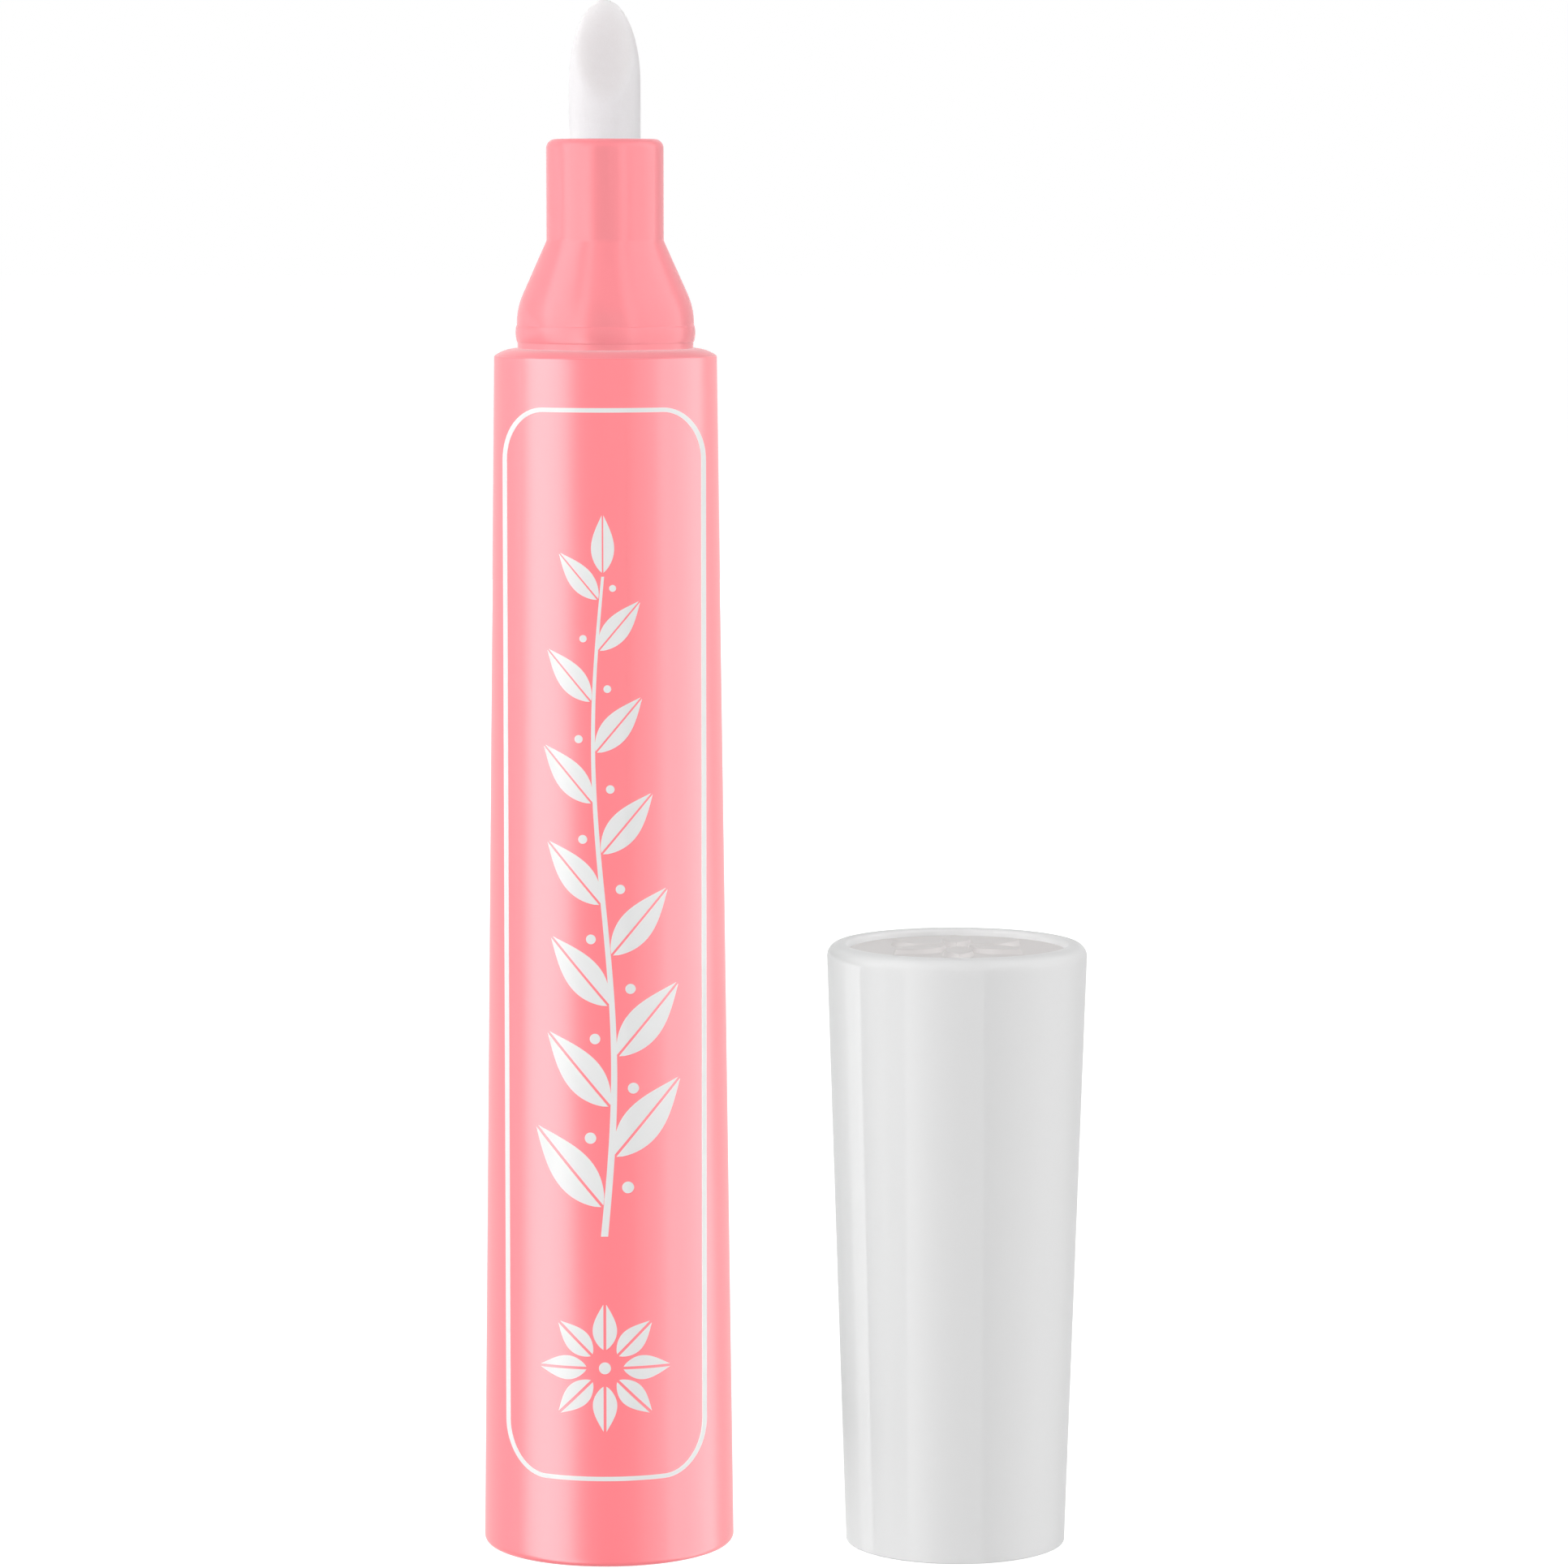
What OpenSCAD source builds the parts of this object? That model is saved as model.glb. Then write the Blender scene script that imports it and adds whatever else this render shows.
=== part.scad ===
// Felt-tip nail oil pen with its pull-off cap standing beside it.
// The pen stands on its foot, with its axis on Z and the foot's plane at z = 0.
// Lengths are in millimetres. The barrel is open at both ends: a plug closes its foot,
// and the front section, which carries the nib, is pushed into its mouth.

/* [Barrel] */
// Length of the barrel, from its foot to its mouth
barrel_len = 84.5; // [70:0.5:110]
// Outer diameter at the foot
foot_d = 17.8; // [17.2:0.1:21]
// Outer diameter at the mouth
mouth_d = 15.6; // [15.4:0.1:17]
// Wall around the reservoir
barrel_wall = 1.3; // [1.1:0.05:1.5]
// Wall around the rear plug
foot_wall = 1.15; // [1:0.05:1.25]
// Rounding of the foot's outer edge
foot_round = 0.5; // [0.3:0.05:0.8]

/* [Rear plug] */
// Depth of the plug in the barrel
plug_len = 8.6; // [7:0.1:12]
// Depth of the plug's face above the foot's plane
plug_inset = 0.4; // [0.2:0.05:0.8]
// Thickness of the plug's disc
plug_disc = 1.3; // [1:0.05:2]
// Wall of the plug's skirt
plug_wall = 0.9; // [0.7:0.05:1.2]

/* [Front section] */
// Length of the skirt inside the barrel
skirt_len = 12; // [9:0.5:16]
// Wall of the skirt
skirt_wall = 0.6; // [0.5:0.05:0.65]
// Height of the domed flange on the barrel's mouth
flange_h = 0.5; // [0.4:0.05:0.7]
// Diameter of the neck that the cap snaps over
neck_d = 12.4; // [12:0.1:12.6]
// Height of the neck above the flange, up to its corner with the cone
neck_len = 2.8; // [2.4:0.1:4]
// Height of the cone between the neck and the nose
cone_len = 4.7; // [3.5:0.1:7]
// Diameter of the nose
nose_d = 8.2; // [7.8:0.1:8.8]
// Length of the nose
nose_len = 7.05; // [6:0.05:9]
// Wall of the neck and cone
section_wall = 1.2; // [1:0.05:1.4]

/* [Nib] */
// Diameter of the nib
nib_d = 5; // [4.6:0.1:5.4]
// Length of the nib that stands out of the nose
nib_out = 9.65; // [8:0.05:12]
// Height of the nib's rounded tip
nib_tip = 5.8; // [4.5:0.1:6.8]
// Height of the slanted writing face, which runs up to the middle of the tip
nib_face = 7; // [4.8:0.1:7.8]
// Depth of the nib's tail in the reservoir
nib_tail = 4; // [3:0.1:6]

/* [Reservoir] */
// Diameter of the fibre core
core_d = 11.4; // [10.8:0.1:11.6]
// Thickness of the film around the core
film = 0.2; // [0.15:0.01:0.25]
// Depth of the core's front end below the barrel's mouth
core_inset = 5; // [4:0.1:7]

/* [Cap] */
// Length of the cap
cap_len = 43; // [41:0.5:56]
// Outer diameter at the closed end
cap_top_d = 18.4; // [17.8:0.1:21]
// Wall at the closed end
cap_wall = 1.45; // [1.3:0.05:1.6]
// Depth of the end disc below the rim
disc_inset = 0.5; // [0.4:0.05:1]
// Thickness of the end disc
disc_thick = 1.2; // [0.9:0.05:1.6]
// Wall of the inner cap
inner_wall = 0.8; // [0.6:0.05:0.9]
// Depth of the inner cap's flange above the cap's mouth
inner_seat = 7; // [6.6:0.1:7.4]
// Gap between the foot and the widest ring of the standing cap
stand_gap = 6.65; // [3:0.05:20]

/* [Hidden] */
$fn = 96;

// Overrun of every cut past the face that it opens
cut = 0.5;
// Radial gap between pieces that are pushed together
press_gap = 0.02;
// Points on a drawn arc, less one
arc_steps = 12;

// Barrel
mouth_round = 0.12;
rib_count = 6;
rib_t = 0.8;
rib_end_gap = 1.2;
rib_play = 0.05;

// Snap rings and their grooves
snap_r = 0.35;
snap_out = 0.14;
plug_snap_low = 3.2;
plug_snap_high = 6.2;
skirt_snap = 4;

// Rear plug
plug_rib_t = 0.9;
plug_dish_r = 4.6;
plug_dish_deep = 0.35;
plug_lead = 0.3;

// Front section
skirt_play = 0.05;
skirt_lead = 0.25;
flange_reveal = 0.05;
neck_relief = 0.05;
bead_up = 1;
bead_half = 0.6;
bead_out = 0.09;
cone_blend = 5;
lip_round = 0.65;
lip_len = 1;
lip_play = 0.12;
lip_chamfer = 0.15;
grip_depth = 0.4;
grip_count = 6;
grip_t = 0.7;

// Nib
tail_chamfer = 0.5;

// Cap shell
cap_edge_round = 0.12;
rim_round = 0.9;
rim_inner_round = 0.3;
mouth_play = 0.15;
mouth_chamfer_w = 0.9;
mouth_chamfer_h = 0.35;
cap_snap_up = 0.5;
cap_snap_r = 0.15;
cap_snap_out = 0.12;
seat_ledge = 0.3;
disc_ledge = 0.35;
hold_r = 0.3;
hold_out = 0.13;

// End disc
disc_skirt = 1.8;
disc_skirt_wall = 0.9;
disc_snap_up = 0.8;
disc_edge_round = 0.15;
emblem_h = 0.4;
petal_count = 6;
petal_in_r = 0.9;
petal_out_r = 5.2;
petal_w = 2.1;

// Inner cap
inner_flange = 1;
socket_play = 0.15;
socket_lead_w = 0.6;
socket_lead_h = 0.8;
seal_up = 2.5;
seal_r = 0.4;
seal_bite = 0.05;
socket_over = 0.6;
chamber_play = 0.9;
chamber_over = 2;
roof = 1;
roof_round = 0.8;
fin_count = 6;
fin_t = 0.8;
fin_up = 2.4;
fin_len = 6;

// Radii of the pen, from the nib outwards
nib_r = nib_d / 2;
core_r = core_d / 2;
sleeve_in_r = core_r + press_gap;
sleeve_r = sleeve_in_r + film;
skirt_in_r = sleeve_r + skirt_play;
skirt_r = skirt_in_r + skirt_wall;
mouth_bore_r = skirt_r + press_gap;
mouth_r = mouth_d / 2;
foot_r = foot_d / 2;
plug_bore_r = foot_r - foot_wall;
plug_r = plug_bore_r - press_gap;
flange_r = mouth_r - flange_reveal;
neck_r = neck_d / 2;
neck_base_r = neck_r - neck_relief;
nose_r = nose_d / 2;
nose_bore_r = nib_r + grip_depth;

// Heights on the pen
plug_top = plug_inset + plug_len;
skirt_z = barrel_len - skirt_len;
core_top = barrel_len - core_inset;
flange_top = barrel_len + flange_h;
bead_z = flange_top + bead_up;
corner_z = flange_top + neck_len;
nose_z = corner_z + cone_len;
lip_z = nose_z + nose_len;
tip_z = lip_z + nib_out;
tail_z = core_top - nib_tail;
cone_turn = atan((neck_r - nose_r) / cone_len);

// Cap, measured from its mouth. Closed, its mouth stands closed_gap above the barrel's.
cap_mouth_r = mouth_r;
cap_top_r = cap_top_d / 2;
cap_x = foot_r + stand_gap + cap_top_r;
flange_arc_r = ((flange_r - neck_base_r) ^ 2 + flange_h ^ 2) / (2 * flange_h);
cap_bore_r = neck_r + mouth_play;
cap_touch_r = cap_bore_r + mouth_chamfer_w;
touch_reach = cap_touch_r - neck_base_r;
dome_at_touch = sqrt(flange_arc_r ^ 2 - touch_reach ^ 2) - flange_arc_r + flange_h;
closed_gap = dome_at_touch + press_gap;
disc_bore_r = cap_top_r - cap_wall;
disc_top = cap_len - disc_inset;
disc_seat = disc_top - disc_thick - disc_skirt;
cavity_low_r = cap_bore_r + seat_ledge;
cavity_high_r = disc_bore_r - disc_ledge;
socket_r = nose_r + socket_play;
closed_drop = barrel_len + closed_gap;
socket_top = lip_z - closed_drop + socket_over;
chamber_r = nib_r + chamber_play;
chamber_top = tip_z - closed_drop + chamber_over;

// Radius of the barrel's outside at height z
function barrel_r(z) = foot_r + (mouth_r - foot_r) * z / barrel_len;
// Radius of the cap's cavity at height z above its mouth
function cavity_r(z) =
    cavity_low_r + (cavity_high_r - cavity_low_r) * (z - inner_seat) / (disc_seat - inner_seat);
// Points of an arc about c, from angle a0 to a1
function arc(c, r, a0, a1) =
    [for (i = [0:arc_steps]) let (a = a0 + (a1 - a0) * i / arc_steps) c + r * [cos(a), sin(a)]];

// Section of a ring that stands out of a wall at radius wall_r by out
module ring_section(wall_r, z, r, out) {
    translate([wall_r - r + out, z]) circle(r);
}

// Section of a ring that stands into a bore at radius wall_r by out
module inner_ring_section(wall_r, z, r, out) {
    translate([wall_r + r - out, z]) circle(r);
}

// Flat fins around the axis, from radius r0 to r1 and from z0 to z1
module fins(count, t, r0, r1, z0, z1) {
    for (i = [0:count - 1])
        rotate(i * 360 / count)
            translate([r0, -t / 2, z0])
                cube([r1 - r0, t, z1 - z0]);
}

// Frustum on the axis, used to trim fins to a tapered wall
module trim_cone(z0, r0, z1, r1) {
    translate([0, 0, z0]) cylinder(h = z1 - z0, r1 = r0, r2 = r1);
}

// Tapered tube, moulded in gloss coral, wider at its foot
module barrel() {
    rib_in_r = sleeve_r + rib_play;
    rib_z0 = plug_top + rib_end_gap;
    rib_z1 = skirt_z - rib_end_gap;
    color("#ff8a90") {
        rotate_extrude()
            difference() {
                polygon(concat(
                    [[plug_bore_r, 0]],
                    arc([barrel_r(foot_round) - foot_round, foot_round], foot_round, -90, 0),
                    arc([barrel_r(barrel_len) - mouth_round, barrel_len - mouth_round],
                        mouth_round, 0, 90),
                    [[mouth_bore_r, barrel_len],
                     [mouth_bore_r, skirt_z],
                     [barrel_r(skirt_z) - barrel_wall, skirt_z],
                     [barrel_r(plug_top) - barrel_wall, plug_top],
                     [plug_bore_r, plug_top]]));
                for (z = [plug_snap_low, plug_snap_high])
                    ring_section(plug_bore_r, z + plug_inset, snap_r, snap_out);
                ring_section(mouth_bore_r, barrel_len - skirt_snap, snap_r, snap_out);
            }
        intersection() {
            fins(rib_count, rib_t, rib_in_r, foot_r, rib_z0, rib_z1);
            trim_cone(rib_z0, barrel_r(rib_z0) - barrel_wall / 2,
                      rib_z1, barrel_r(rib_z1) - barrel_wall / 2);
        }
    }
}

// Push-in closure of the foot. Its cross ribs carry the reservoir.
module rear_plug() {
    color("#f9848b") {
        rotate_extrude()
            difference() {
                union() {
                    polygon([[0, plug_inset],
                             [plug_r, plug_inset],
                             [plug_r, plug_top - plug_lead],
                             [plug_r - plug_lead, plug_top],
                             [plug_r - plug_wall, plug_top],
                             [plug_r - plug_wall, plug_inset + plug_disc],
                             [0, plug_inset + plug_disc]]);
                    for (z = [plug_snap_low, plug_snap_high])
                        ring_section(plug_r, z + plug_inset, snap_r, snap_out);
                }
                square([plug_dish_r, plug_inset + plug_dish_deep]);
            }
        for (a = [0, 90])
            rotate(a)
                translate([-plug_r + plug_wall / 2, -plug_rib_t / 2, plug_inset + plug_disc / 2])
                    cube([2 * plug_r - plug_wall, plug_rib_t, plug_len - plug_disc / 2]);
    }
}

// Skirt, flange, neck, cone and nose in one moulding. Ribs in the nose grip the nib.
module front_section() {
    blend_down = cone_blend * tan(cone_turn / 2);
    hollow_r = neck_base_r - section_wall;
    hollow_z = corner_z - section_wall * tan(cone_turn / 2);
    lip_bore_r = nib_r + lip_play;
    color("#fb8e95") {
        rotate_extrude()
            difference() {
                union() {
                    polygon(concat(
                        [[skirt_in_r, skirt_z],
                         [skirt_r - skirt_lead, skirt_z],
                         [skirt_r, skirt_z + skirt_lead],
                         [skirt_r, barrel_len],
                         [flange_r, barrel_len]],
                        arc([neck_base_r, flange_top - flange_arc_r], flange_arc_r,
                            acos((flange_r - neck_base_r) / flange_arc_r), 90),
                        [[neck_base_r, bead_z - bead_half]],
                        [for (i = [1:arc_steps])
                            let (t = i / arc_steps)
                            [neck_base_r + neck_relief * t
                                + (bead_out + neck_relief / 2) * sin(180 * t),
                             bead_z - bead_half + 2 * bead_half * t]],
                        arc([neck_r - cone_blend, corner_z - blend_down], cone_blend,
                            0, cone_turn),
                        [[nose_r, nose_z]],
                        arc([nose_r - lip_round, lip_z - lip_round], lip_round, 0, 90),
                        [[lip_bore_r + lip_chamfer, lip_z],
                         [lip_bore_r, lip_z - lip_chamfer],
                         [lip_bore_r, lip_z - lip_len],
                         [nose_bore_r, lip_z - lip_len],
                         [nose_bore_r, nose_z],
                         [hollow_r, hollow_z],
                         [hollow_r, core_top],
                         [skirt_in_r, core_top]]));
                    ring_section(skirt_r, barrel_len - skirt_snap, snap_r, snap_out);
                }
                // What the skirt's snap ring would leave inside its wall
                translate([0, skirt_z - cut])
                    square([skirt_in_r, core_top - skirt_z + cut]);
            }
        difference() {
            fins(grip_count, grip_t, 0, nose_bore_r + grip_depth / 2, nose_z, lip_z - lip_len);
            translate([0, 0, nose_z - cut])
                cylinder(h = nose_len + 2 * cut, r = nib_r + press_gap);
        }
    }
}

// Round felt rod with a rounded tip, cut to a slanted face on the side that is towards -Y
module nib() {
    face_lean = atan(nib_r / nib_face);
    color("#ececee")
        difference() {
            rotate_extrude()
                polygon(concat(
                    [[0, tail_z],
                     [nib_r - tail_chamfer, tail_z],
                     [nib_r, tail_z + tail_chamfer]],
                    [for (i = [0:2 * arc_steps])
                        let (a = 90 * i / (2 * arc_steps))
                        [nib_r * cos(a), tip_z - nib_tip + nib_tip * sin(a)]]));
            translate([0, -nib_r, tip_z - nib_face])
                rotate([-face_lean, 0, 0])
                    translate([-nib_d, -nib_d, -nib_face])
                        cube([2 * nib_d, nib_d, 3 * nib_face]);
        }
}

// Rod of bonded fibres that holds the oil, with a socket for the nib's tail
module reservoir_core() {
    color("#f2efe6")
        difference() {
            translate([0, 0, plug_top])
                cylinder(h = core_top - plug_top, r = core_r);
            translate([0, 0, tail_z])
                cylinder(h = nib_tail + cut, r = nib_r + press_gap);
        }
}

// Clear film around the fibre core, open at both ends
module reservoir_sleeve() {
    color("#dfe6ea")
        translate([0, 0, plug_top])
            difference() {
                cylinder(h = core_top - plug_top, r = sleeve_r);
                translate([0, 0, -cut])
                    cylinder(h = core_top - plug_top + 2 * cut, r = sleeve_in_r);
            }
}

// Tapered cap tube, open at both ends, wider at its closed end
module cap_shell() {
    rim_z = cap_len - rim_round;
    color("#e9e9ea")
        translate([cap_x, 0, 0])
            rotate_extrude()
                union() {
                    difference() {
                        polygon(concat(
                            [[cap_touch_r, 0]],
                            arc([cap_mouth_r - cap_edge_round, cap_edge_round],
                                cap_edge_round, -90, 0),
                            arc([cap_top_r - rim_round, rim_z], rim_round, 0, 90),
                            arc([disc_bore_r + rim_inner_round, cap_len - rim_inner_round],
                                rim_inner_round, 90, 180),
                            [[disc_bore_r, disc_seat],
                             [cavity_high_r, disc_seat],
                             [cavity_low_r, inner_seat],
                             [cap_bore_r, inner_seat],
                             [cap_bore_r, mouth_chamfer_h]]));
                        ring_section(disc_bore_r, disc_seat + disc_snap_up, snap_r, snap_out);
                    }
                    inner_ring_section(cap_bore_r, cap_snap_up, cap_snap_r, cap_snap_out);
                    inner_ring_section(cavity_r(inner_seat + inner_flange + hold_r),
                                       inner_seat + inner_flange + hold_r,
                                       hold_r, hold_out);
                }
}

// Sealing thimble inside the cap. Its socket takes the nose and its chamber the nib.
module inner_cap() {
    flange_edge_r = cavity_low_r - press_gap;
    body_r = socket_r + inner_wall;
    chamber_out_r = chamber_r + inner_wall;
    step_top = socket_top + inner_wall;
    top = chamber_top + roof;
    fin_z = inner_seat + fin_up;
    color("#f1f1ee")
        translate([cap_x, 0, 0]) {
            rotate_extrude()
                union() {
                    polygon(concat(
                        [[socket_r + socket_lead_w, inner_seat],
                         [flange_edge_r, inner_seat],
                         [flange_edge_r, inner_seat + inner_flange],
                         [body_r, inner_seat + inner_flange],
                         [body_r, step_top],
                         [chamber_out_r, step_top]],
                        arc([chamber_out_r - roof_round, top - roof_round], roof_round, 0, 90),
                        [[0, top],
                         [0, chamber_top],
                         [chamber_r, chamber_top],
                         [chamber_r, socket_top],
                         [socket_r, socket_top],
                         [socket_r, inner_seat + socket_lead_h]]));
                    inner_ring_section(socket_r, inner_seat + seal_up, seal_r,
                                       socket_play + seal_bite);
                }
            intersection() {
                fins(fin_count, fin_t, body_r - inner_wall / 2, cap_top_r, fin_z, fin_z + fin_len);
                trim_cone(fin_z, cavity_r(fin_z) - press_gap,
                          fin_z + fin_len, cavity_r(fin_z + fin_len) - press_gap);
            }
        }
}

// Outline of one petal along +X, between two arcs
module petal_outline() {
    half_len = (petal_out_r - petal_in_r) / 2;
    half_w = petal_w / 2;
    side_r = (half_len ^ 2 + half_w ^ 2) / petal_w;
    translate([petal_in_r + half_len, 0])
        intersection() {
            translate([0, side_r - half_w]) circle(side_r);
            translate([0, half_w - side_r]) circle(side_r);
        }
}

// Snap-in disc that closes the cap's wide end, with a plain raised rosette
module cap_end_disc() {
    disc_r = disc_bore_r - press_gap;
    under = disc_top - disc_thick;
    color("#e2e0e0")
        translate([cap_x, 0, 0]) {
            rotate_extrude()
                union() {
                    polygon(concat(
                        [[0, under],
                         [disc_r - disc_skirt_wall, under],
                         [disc_r - disc_skirt_wall, disc_seat],
                         [disc_r, disc_seat]],
                        arc([disc_r - disc_edge_round, disc_top - disc_edge_round],
                            disc_edge_round, 0, 90),
                        [[0, disc_top]]));
                    ring_section(disc_r, disc_seat + disc_snap_up, snap_r, snap_out);
                }
            for (i = [0:petal_count - 1])
                rotate(90 + i * 360 / petal_count)
                    translate([0, 0, disc_top - disc_thick / 2])
                        linear_extrude(disc_thick / 2 + emblem_h)
                            petal_outline();
        }
}

barrel();
rear_plug();
front_section();
nib();
reservoir_core();
reservoir_sleeve();
cap_shell();
inner_cap();
cap_end_disc();
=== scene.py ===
"""Looks of the felt-tip nail oil pen and its cap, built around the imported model."""

import math

import bmesh
import bpy
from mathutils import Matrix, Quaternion, Vector


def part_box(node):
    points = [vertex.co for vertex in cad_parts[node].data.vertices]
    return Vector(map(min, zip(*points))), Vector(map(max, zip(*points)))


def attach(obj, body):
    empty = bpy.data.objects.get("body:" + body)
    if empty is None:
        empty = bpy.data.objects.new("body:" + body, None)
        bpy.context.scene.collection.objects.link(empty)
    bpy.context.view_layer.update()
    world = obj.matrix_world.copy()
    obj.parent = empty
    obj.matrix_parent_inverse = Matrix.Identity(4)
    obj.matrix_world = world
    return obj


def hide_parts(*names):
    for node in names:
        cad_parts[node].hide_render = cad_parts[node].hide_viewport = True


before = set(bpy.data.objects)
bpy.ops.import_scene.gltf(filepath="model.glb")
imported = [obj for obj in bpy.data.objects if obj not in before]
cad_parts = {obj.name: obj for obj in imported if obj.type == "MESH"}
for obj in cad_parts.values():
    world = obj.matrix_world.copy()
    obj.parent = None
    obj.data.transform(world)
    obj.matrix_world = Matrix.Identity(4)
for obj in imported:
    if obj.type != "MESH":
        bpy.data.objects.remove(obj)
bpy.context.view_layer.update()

# Barrel
# A tapered tube, injection moulded in coral plastic in a polished mould, so it is glossy.
# It is open at both ends, has grooves for the snap rings of the plug and the front section,
# and six thin ribs inside keep the reservoir on the axis.
MM = 0.001
SEGMENTS = 192
CREASE_ANGLE = math.radians(32)
MERGE_GAP = 1e-6

barrel_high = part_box("barrel")[1]
BARREL_LENGTH = barrel_high.z
FOOT_R = barrel_high.x
MOUTH_R = 7.8 * MM
FOOT_ROUND = 0.5 * MM
MOUTH_ROUND = 0.12 * MM
PLUG_SEAT_R = 7.75 * MM
PLUG_SEAT_TOP = 9.0 * MM
PLUG_SNAPS = (3.6 * MM, 6.6 * MM)
MOUTH_BORE_R = 6.59 * MM
MOUTH_BORE_LOW = 72.5 * MM
SKIRT_SNAP = 80.5 * MM
SNAP_R = 0.35 * MM
SNAP_OUT = 0.14 * MM
BARREL_WALL = 1.3 * MM
RIB_COUNT = 6
RIB_THICK = 0.8 * MM
RIB_INNER_R = 5.97 * MM
RIB_END_GAP = 1.2 * MM
BARREL_COLOUR = (1.0, 0.197, 0.231, 1.0)
BARREL_DEEP = (0.985, 0.183, 0.216, 1.0)
barrel_taper = (FOOT_R - MOUTH_R) / BARREL_LENGTH


def node(tree, kind, inputs=None, **settings):
    """Adds a node with its settings and inputs; an input is a value or another socket."""
    made = tree.nodes.new(kind)
    for name, value in settings.items():
        setattr(made, name, value)
    for key, value in (inputs or {}).items():
        if isinstance(value, bpy.types.NodeSocket):
            tree.links.new(value, made.inputs[key])
        else:
            made.inputs[key].default_value = value
    return made


def result(tree, kind, inputs=None, **settings):
    """Adds a node and gives its first output."""
    return node(tree, kind, inputs, **settings).outputs[0]


def maths(tree, operation, *values):
    """Adds a Math node on the values and gives its result."""
    return result(tree, "ShaderNodeMath", dict(enumerate(values)), operation=operation)


def whole_maths(tree, operation, *values):
    """The same on whole numbers."""
    return result(tree, "FunctionNodeIntegerMath", dict(enumerate(values)), operation=operation)


def vector(tree, **parts):
    """Gives the vector of the named parts X, Y and Z."""
    return result(tree, "ShaderNodeCombineXYZ", parts)


def parts_of(tree, spot):
    """The parts X, Y and Z of a vector."""
    return node(tree, "ShaderNodeSeparateXYZ", {0: spot}).outputs


def moved(tree, geometry, spot):
    """Puts the points of a geometry at the given places."""
    return result(tree, "GeometryNodeSetPosition", {"Geometry": geometry, "Position": spot})


def new_tree(name, **inputs):
    """A Geometry Nodes tree from Geometry to Geometry with more named inputs."""
    tree = bpy.data.node_groups.new(name, "GeometryNodeTree")
    sockets = tree.interface
    sockets.new_socket("Geometry", in_out="INPUT", socket_type="NodeSocketGeometry")
    for key, kind in inputs.items():
        label = key.replace("_", " ").capitalize()
        sockets.new_socket(label, in_out="INPUT", socket_type="NodeSocket" + kind)
    sockets.new_socket("Geometry", in_out="OUTPUT", socket_type="NodeSocketGeometry")
    return tree, node(tree, "NodeGroupInput").outputs


def close_tree(tree, geometry, given):
    """Ends a tree: real geometry, doubles merged, smooth faces, creased edges, material."""
    real = result(tree, "GeometryNodeRealizeInstances", {"Geometry": geometry})
    merged = result(tree, "GeometryNodeMergeByDistance", {"Geometry": real, "Distance": MERGE_GAP})
    smooth = result(tree, "GeometryNodeSetShadeSmooth", {"Geometry": merged})
    angle = node(tree, "GeometryNodeInputMeshEdgeAngle").outputs["Unsigned Angle"]
    sharp = result(tree, "FunctionNodeCompare", {"A": angle, "B": CREASE_ANGLE},
                   data_type="FLOAT", operation="GREATER_THAN")
    creased = result(tree, "GeometryNodeStoreNamedAttribute",
                     {"Geometry": smooth, "Name": "sharp_edge", "Value": sharp},
                     data_type="BOOLEAN", domain="EDGE")
    finished = result(tree, "GeometryNodeSetMaterial",
                      {"Geometry": creased, "Material": given["Material"]})
    node(tree, "NodeGroupOutput", {"Geometry": finished})
    return tree


def revolve_tree():
    """Turns a row of points (radius, 0, height) into a surface around an upright axis."""
    tree, given = new_tree("revolve", points="Int", segments="Int", axis_x="Float",
                           material="Material")
    columns = whole_maths(tree, "ADD", given["Segments"], 1)
    grid = result(tree, "GeometryNodeMeshGrid",
                  {"Vertices X": given["Points"], "Vertices Y": columns})
    index = result(tree, "GeometryNodeInputIndex")
    row = whole_maths(tree, "DIVIDE_FLOOR", index, columns)
    column = whole_maths(tree, "MODULO", index, columns)
    place = result(tree, "GeometryNodeInputPosition")
    point = result(tree, "GeometryNodeSampleIndex",
                   {"Geometry": given["Geometry"], "Value": place, "Index": row},
                   data_type="FLOAT_VECTOR")
    part = parts_of(tree, point)
    turn = maths(tree, "MULTIPLY", maths(tree, "DIVIDE", column, given["Segments"]), math.tau)
    across = maths(tree, "MULTIPLY", part["X"], maths(tree, "COSINE", turn))
    along = maths(tree, "MULTIPLY", part["X"], maths(tree, "SINE", turn))
    spot = vector(tree, X=maths(tree, "ADD", across, given["Axis x"]), Y=along, Z=part["Z"])
    return close_tree(tree, moved(tree, grid, spot), given)


def ring_tree():
    """Repeats the given mesh around an upright axis."""
    tree, given = new_tree("ring", count="Int", axis_x="Float", material="Material")
    points = result(tree, "GeometryNodePoints",
                    {"Count": given["Count"], "Position": vector(tree, X=given["Axis x"])})
    index = result(tree, "GeometryNodeInputIndex")
    turn = maths(tree, "MULTIPLY", maths(tree, "DIVIDE", index, given["Count"]), math.tau)
    ring = result(tree, "GeometryNodeInstanceOnPoints",
                  {"Points": points, "Instance": given["Geometry"],
                   "Rotation": vector(tree, Z=turn)})
    return close_tree(tree, ring, given)


def settled(piece):
    """Replaces a piece's mesh by what its modifiers make of it, with its faces outwards."""
    graph = bpy.context.evaluated_depsgraph_get()
    start = piece.data
    plain = bpy.data.meshes.new_from_object(piece.evaluated_get(graph), depsgraph=graph,
                                            preserve_all_data_layers=True)
    piece.modifiers.clear()
    piece.data = plain
    bpy.data.meshes.remove(start)
    plain.name = piece.name
    shape = bmesh.new()
    shape.from_mesh(plain)
    bmesh.ops.recalc_face_normals(shape, faces=shape.faces)
    shape.to_mesh(plain)
    shape.free()
    return piece


def added(name, data):
    """Adds an object to the scene."""
    thing = bpy.data.objects.new(name, data)
    bpy.context.scene.collection.objects.link(thing)
    return thing


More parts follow.
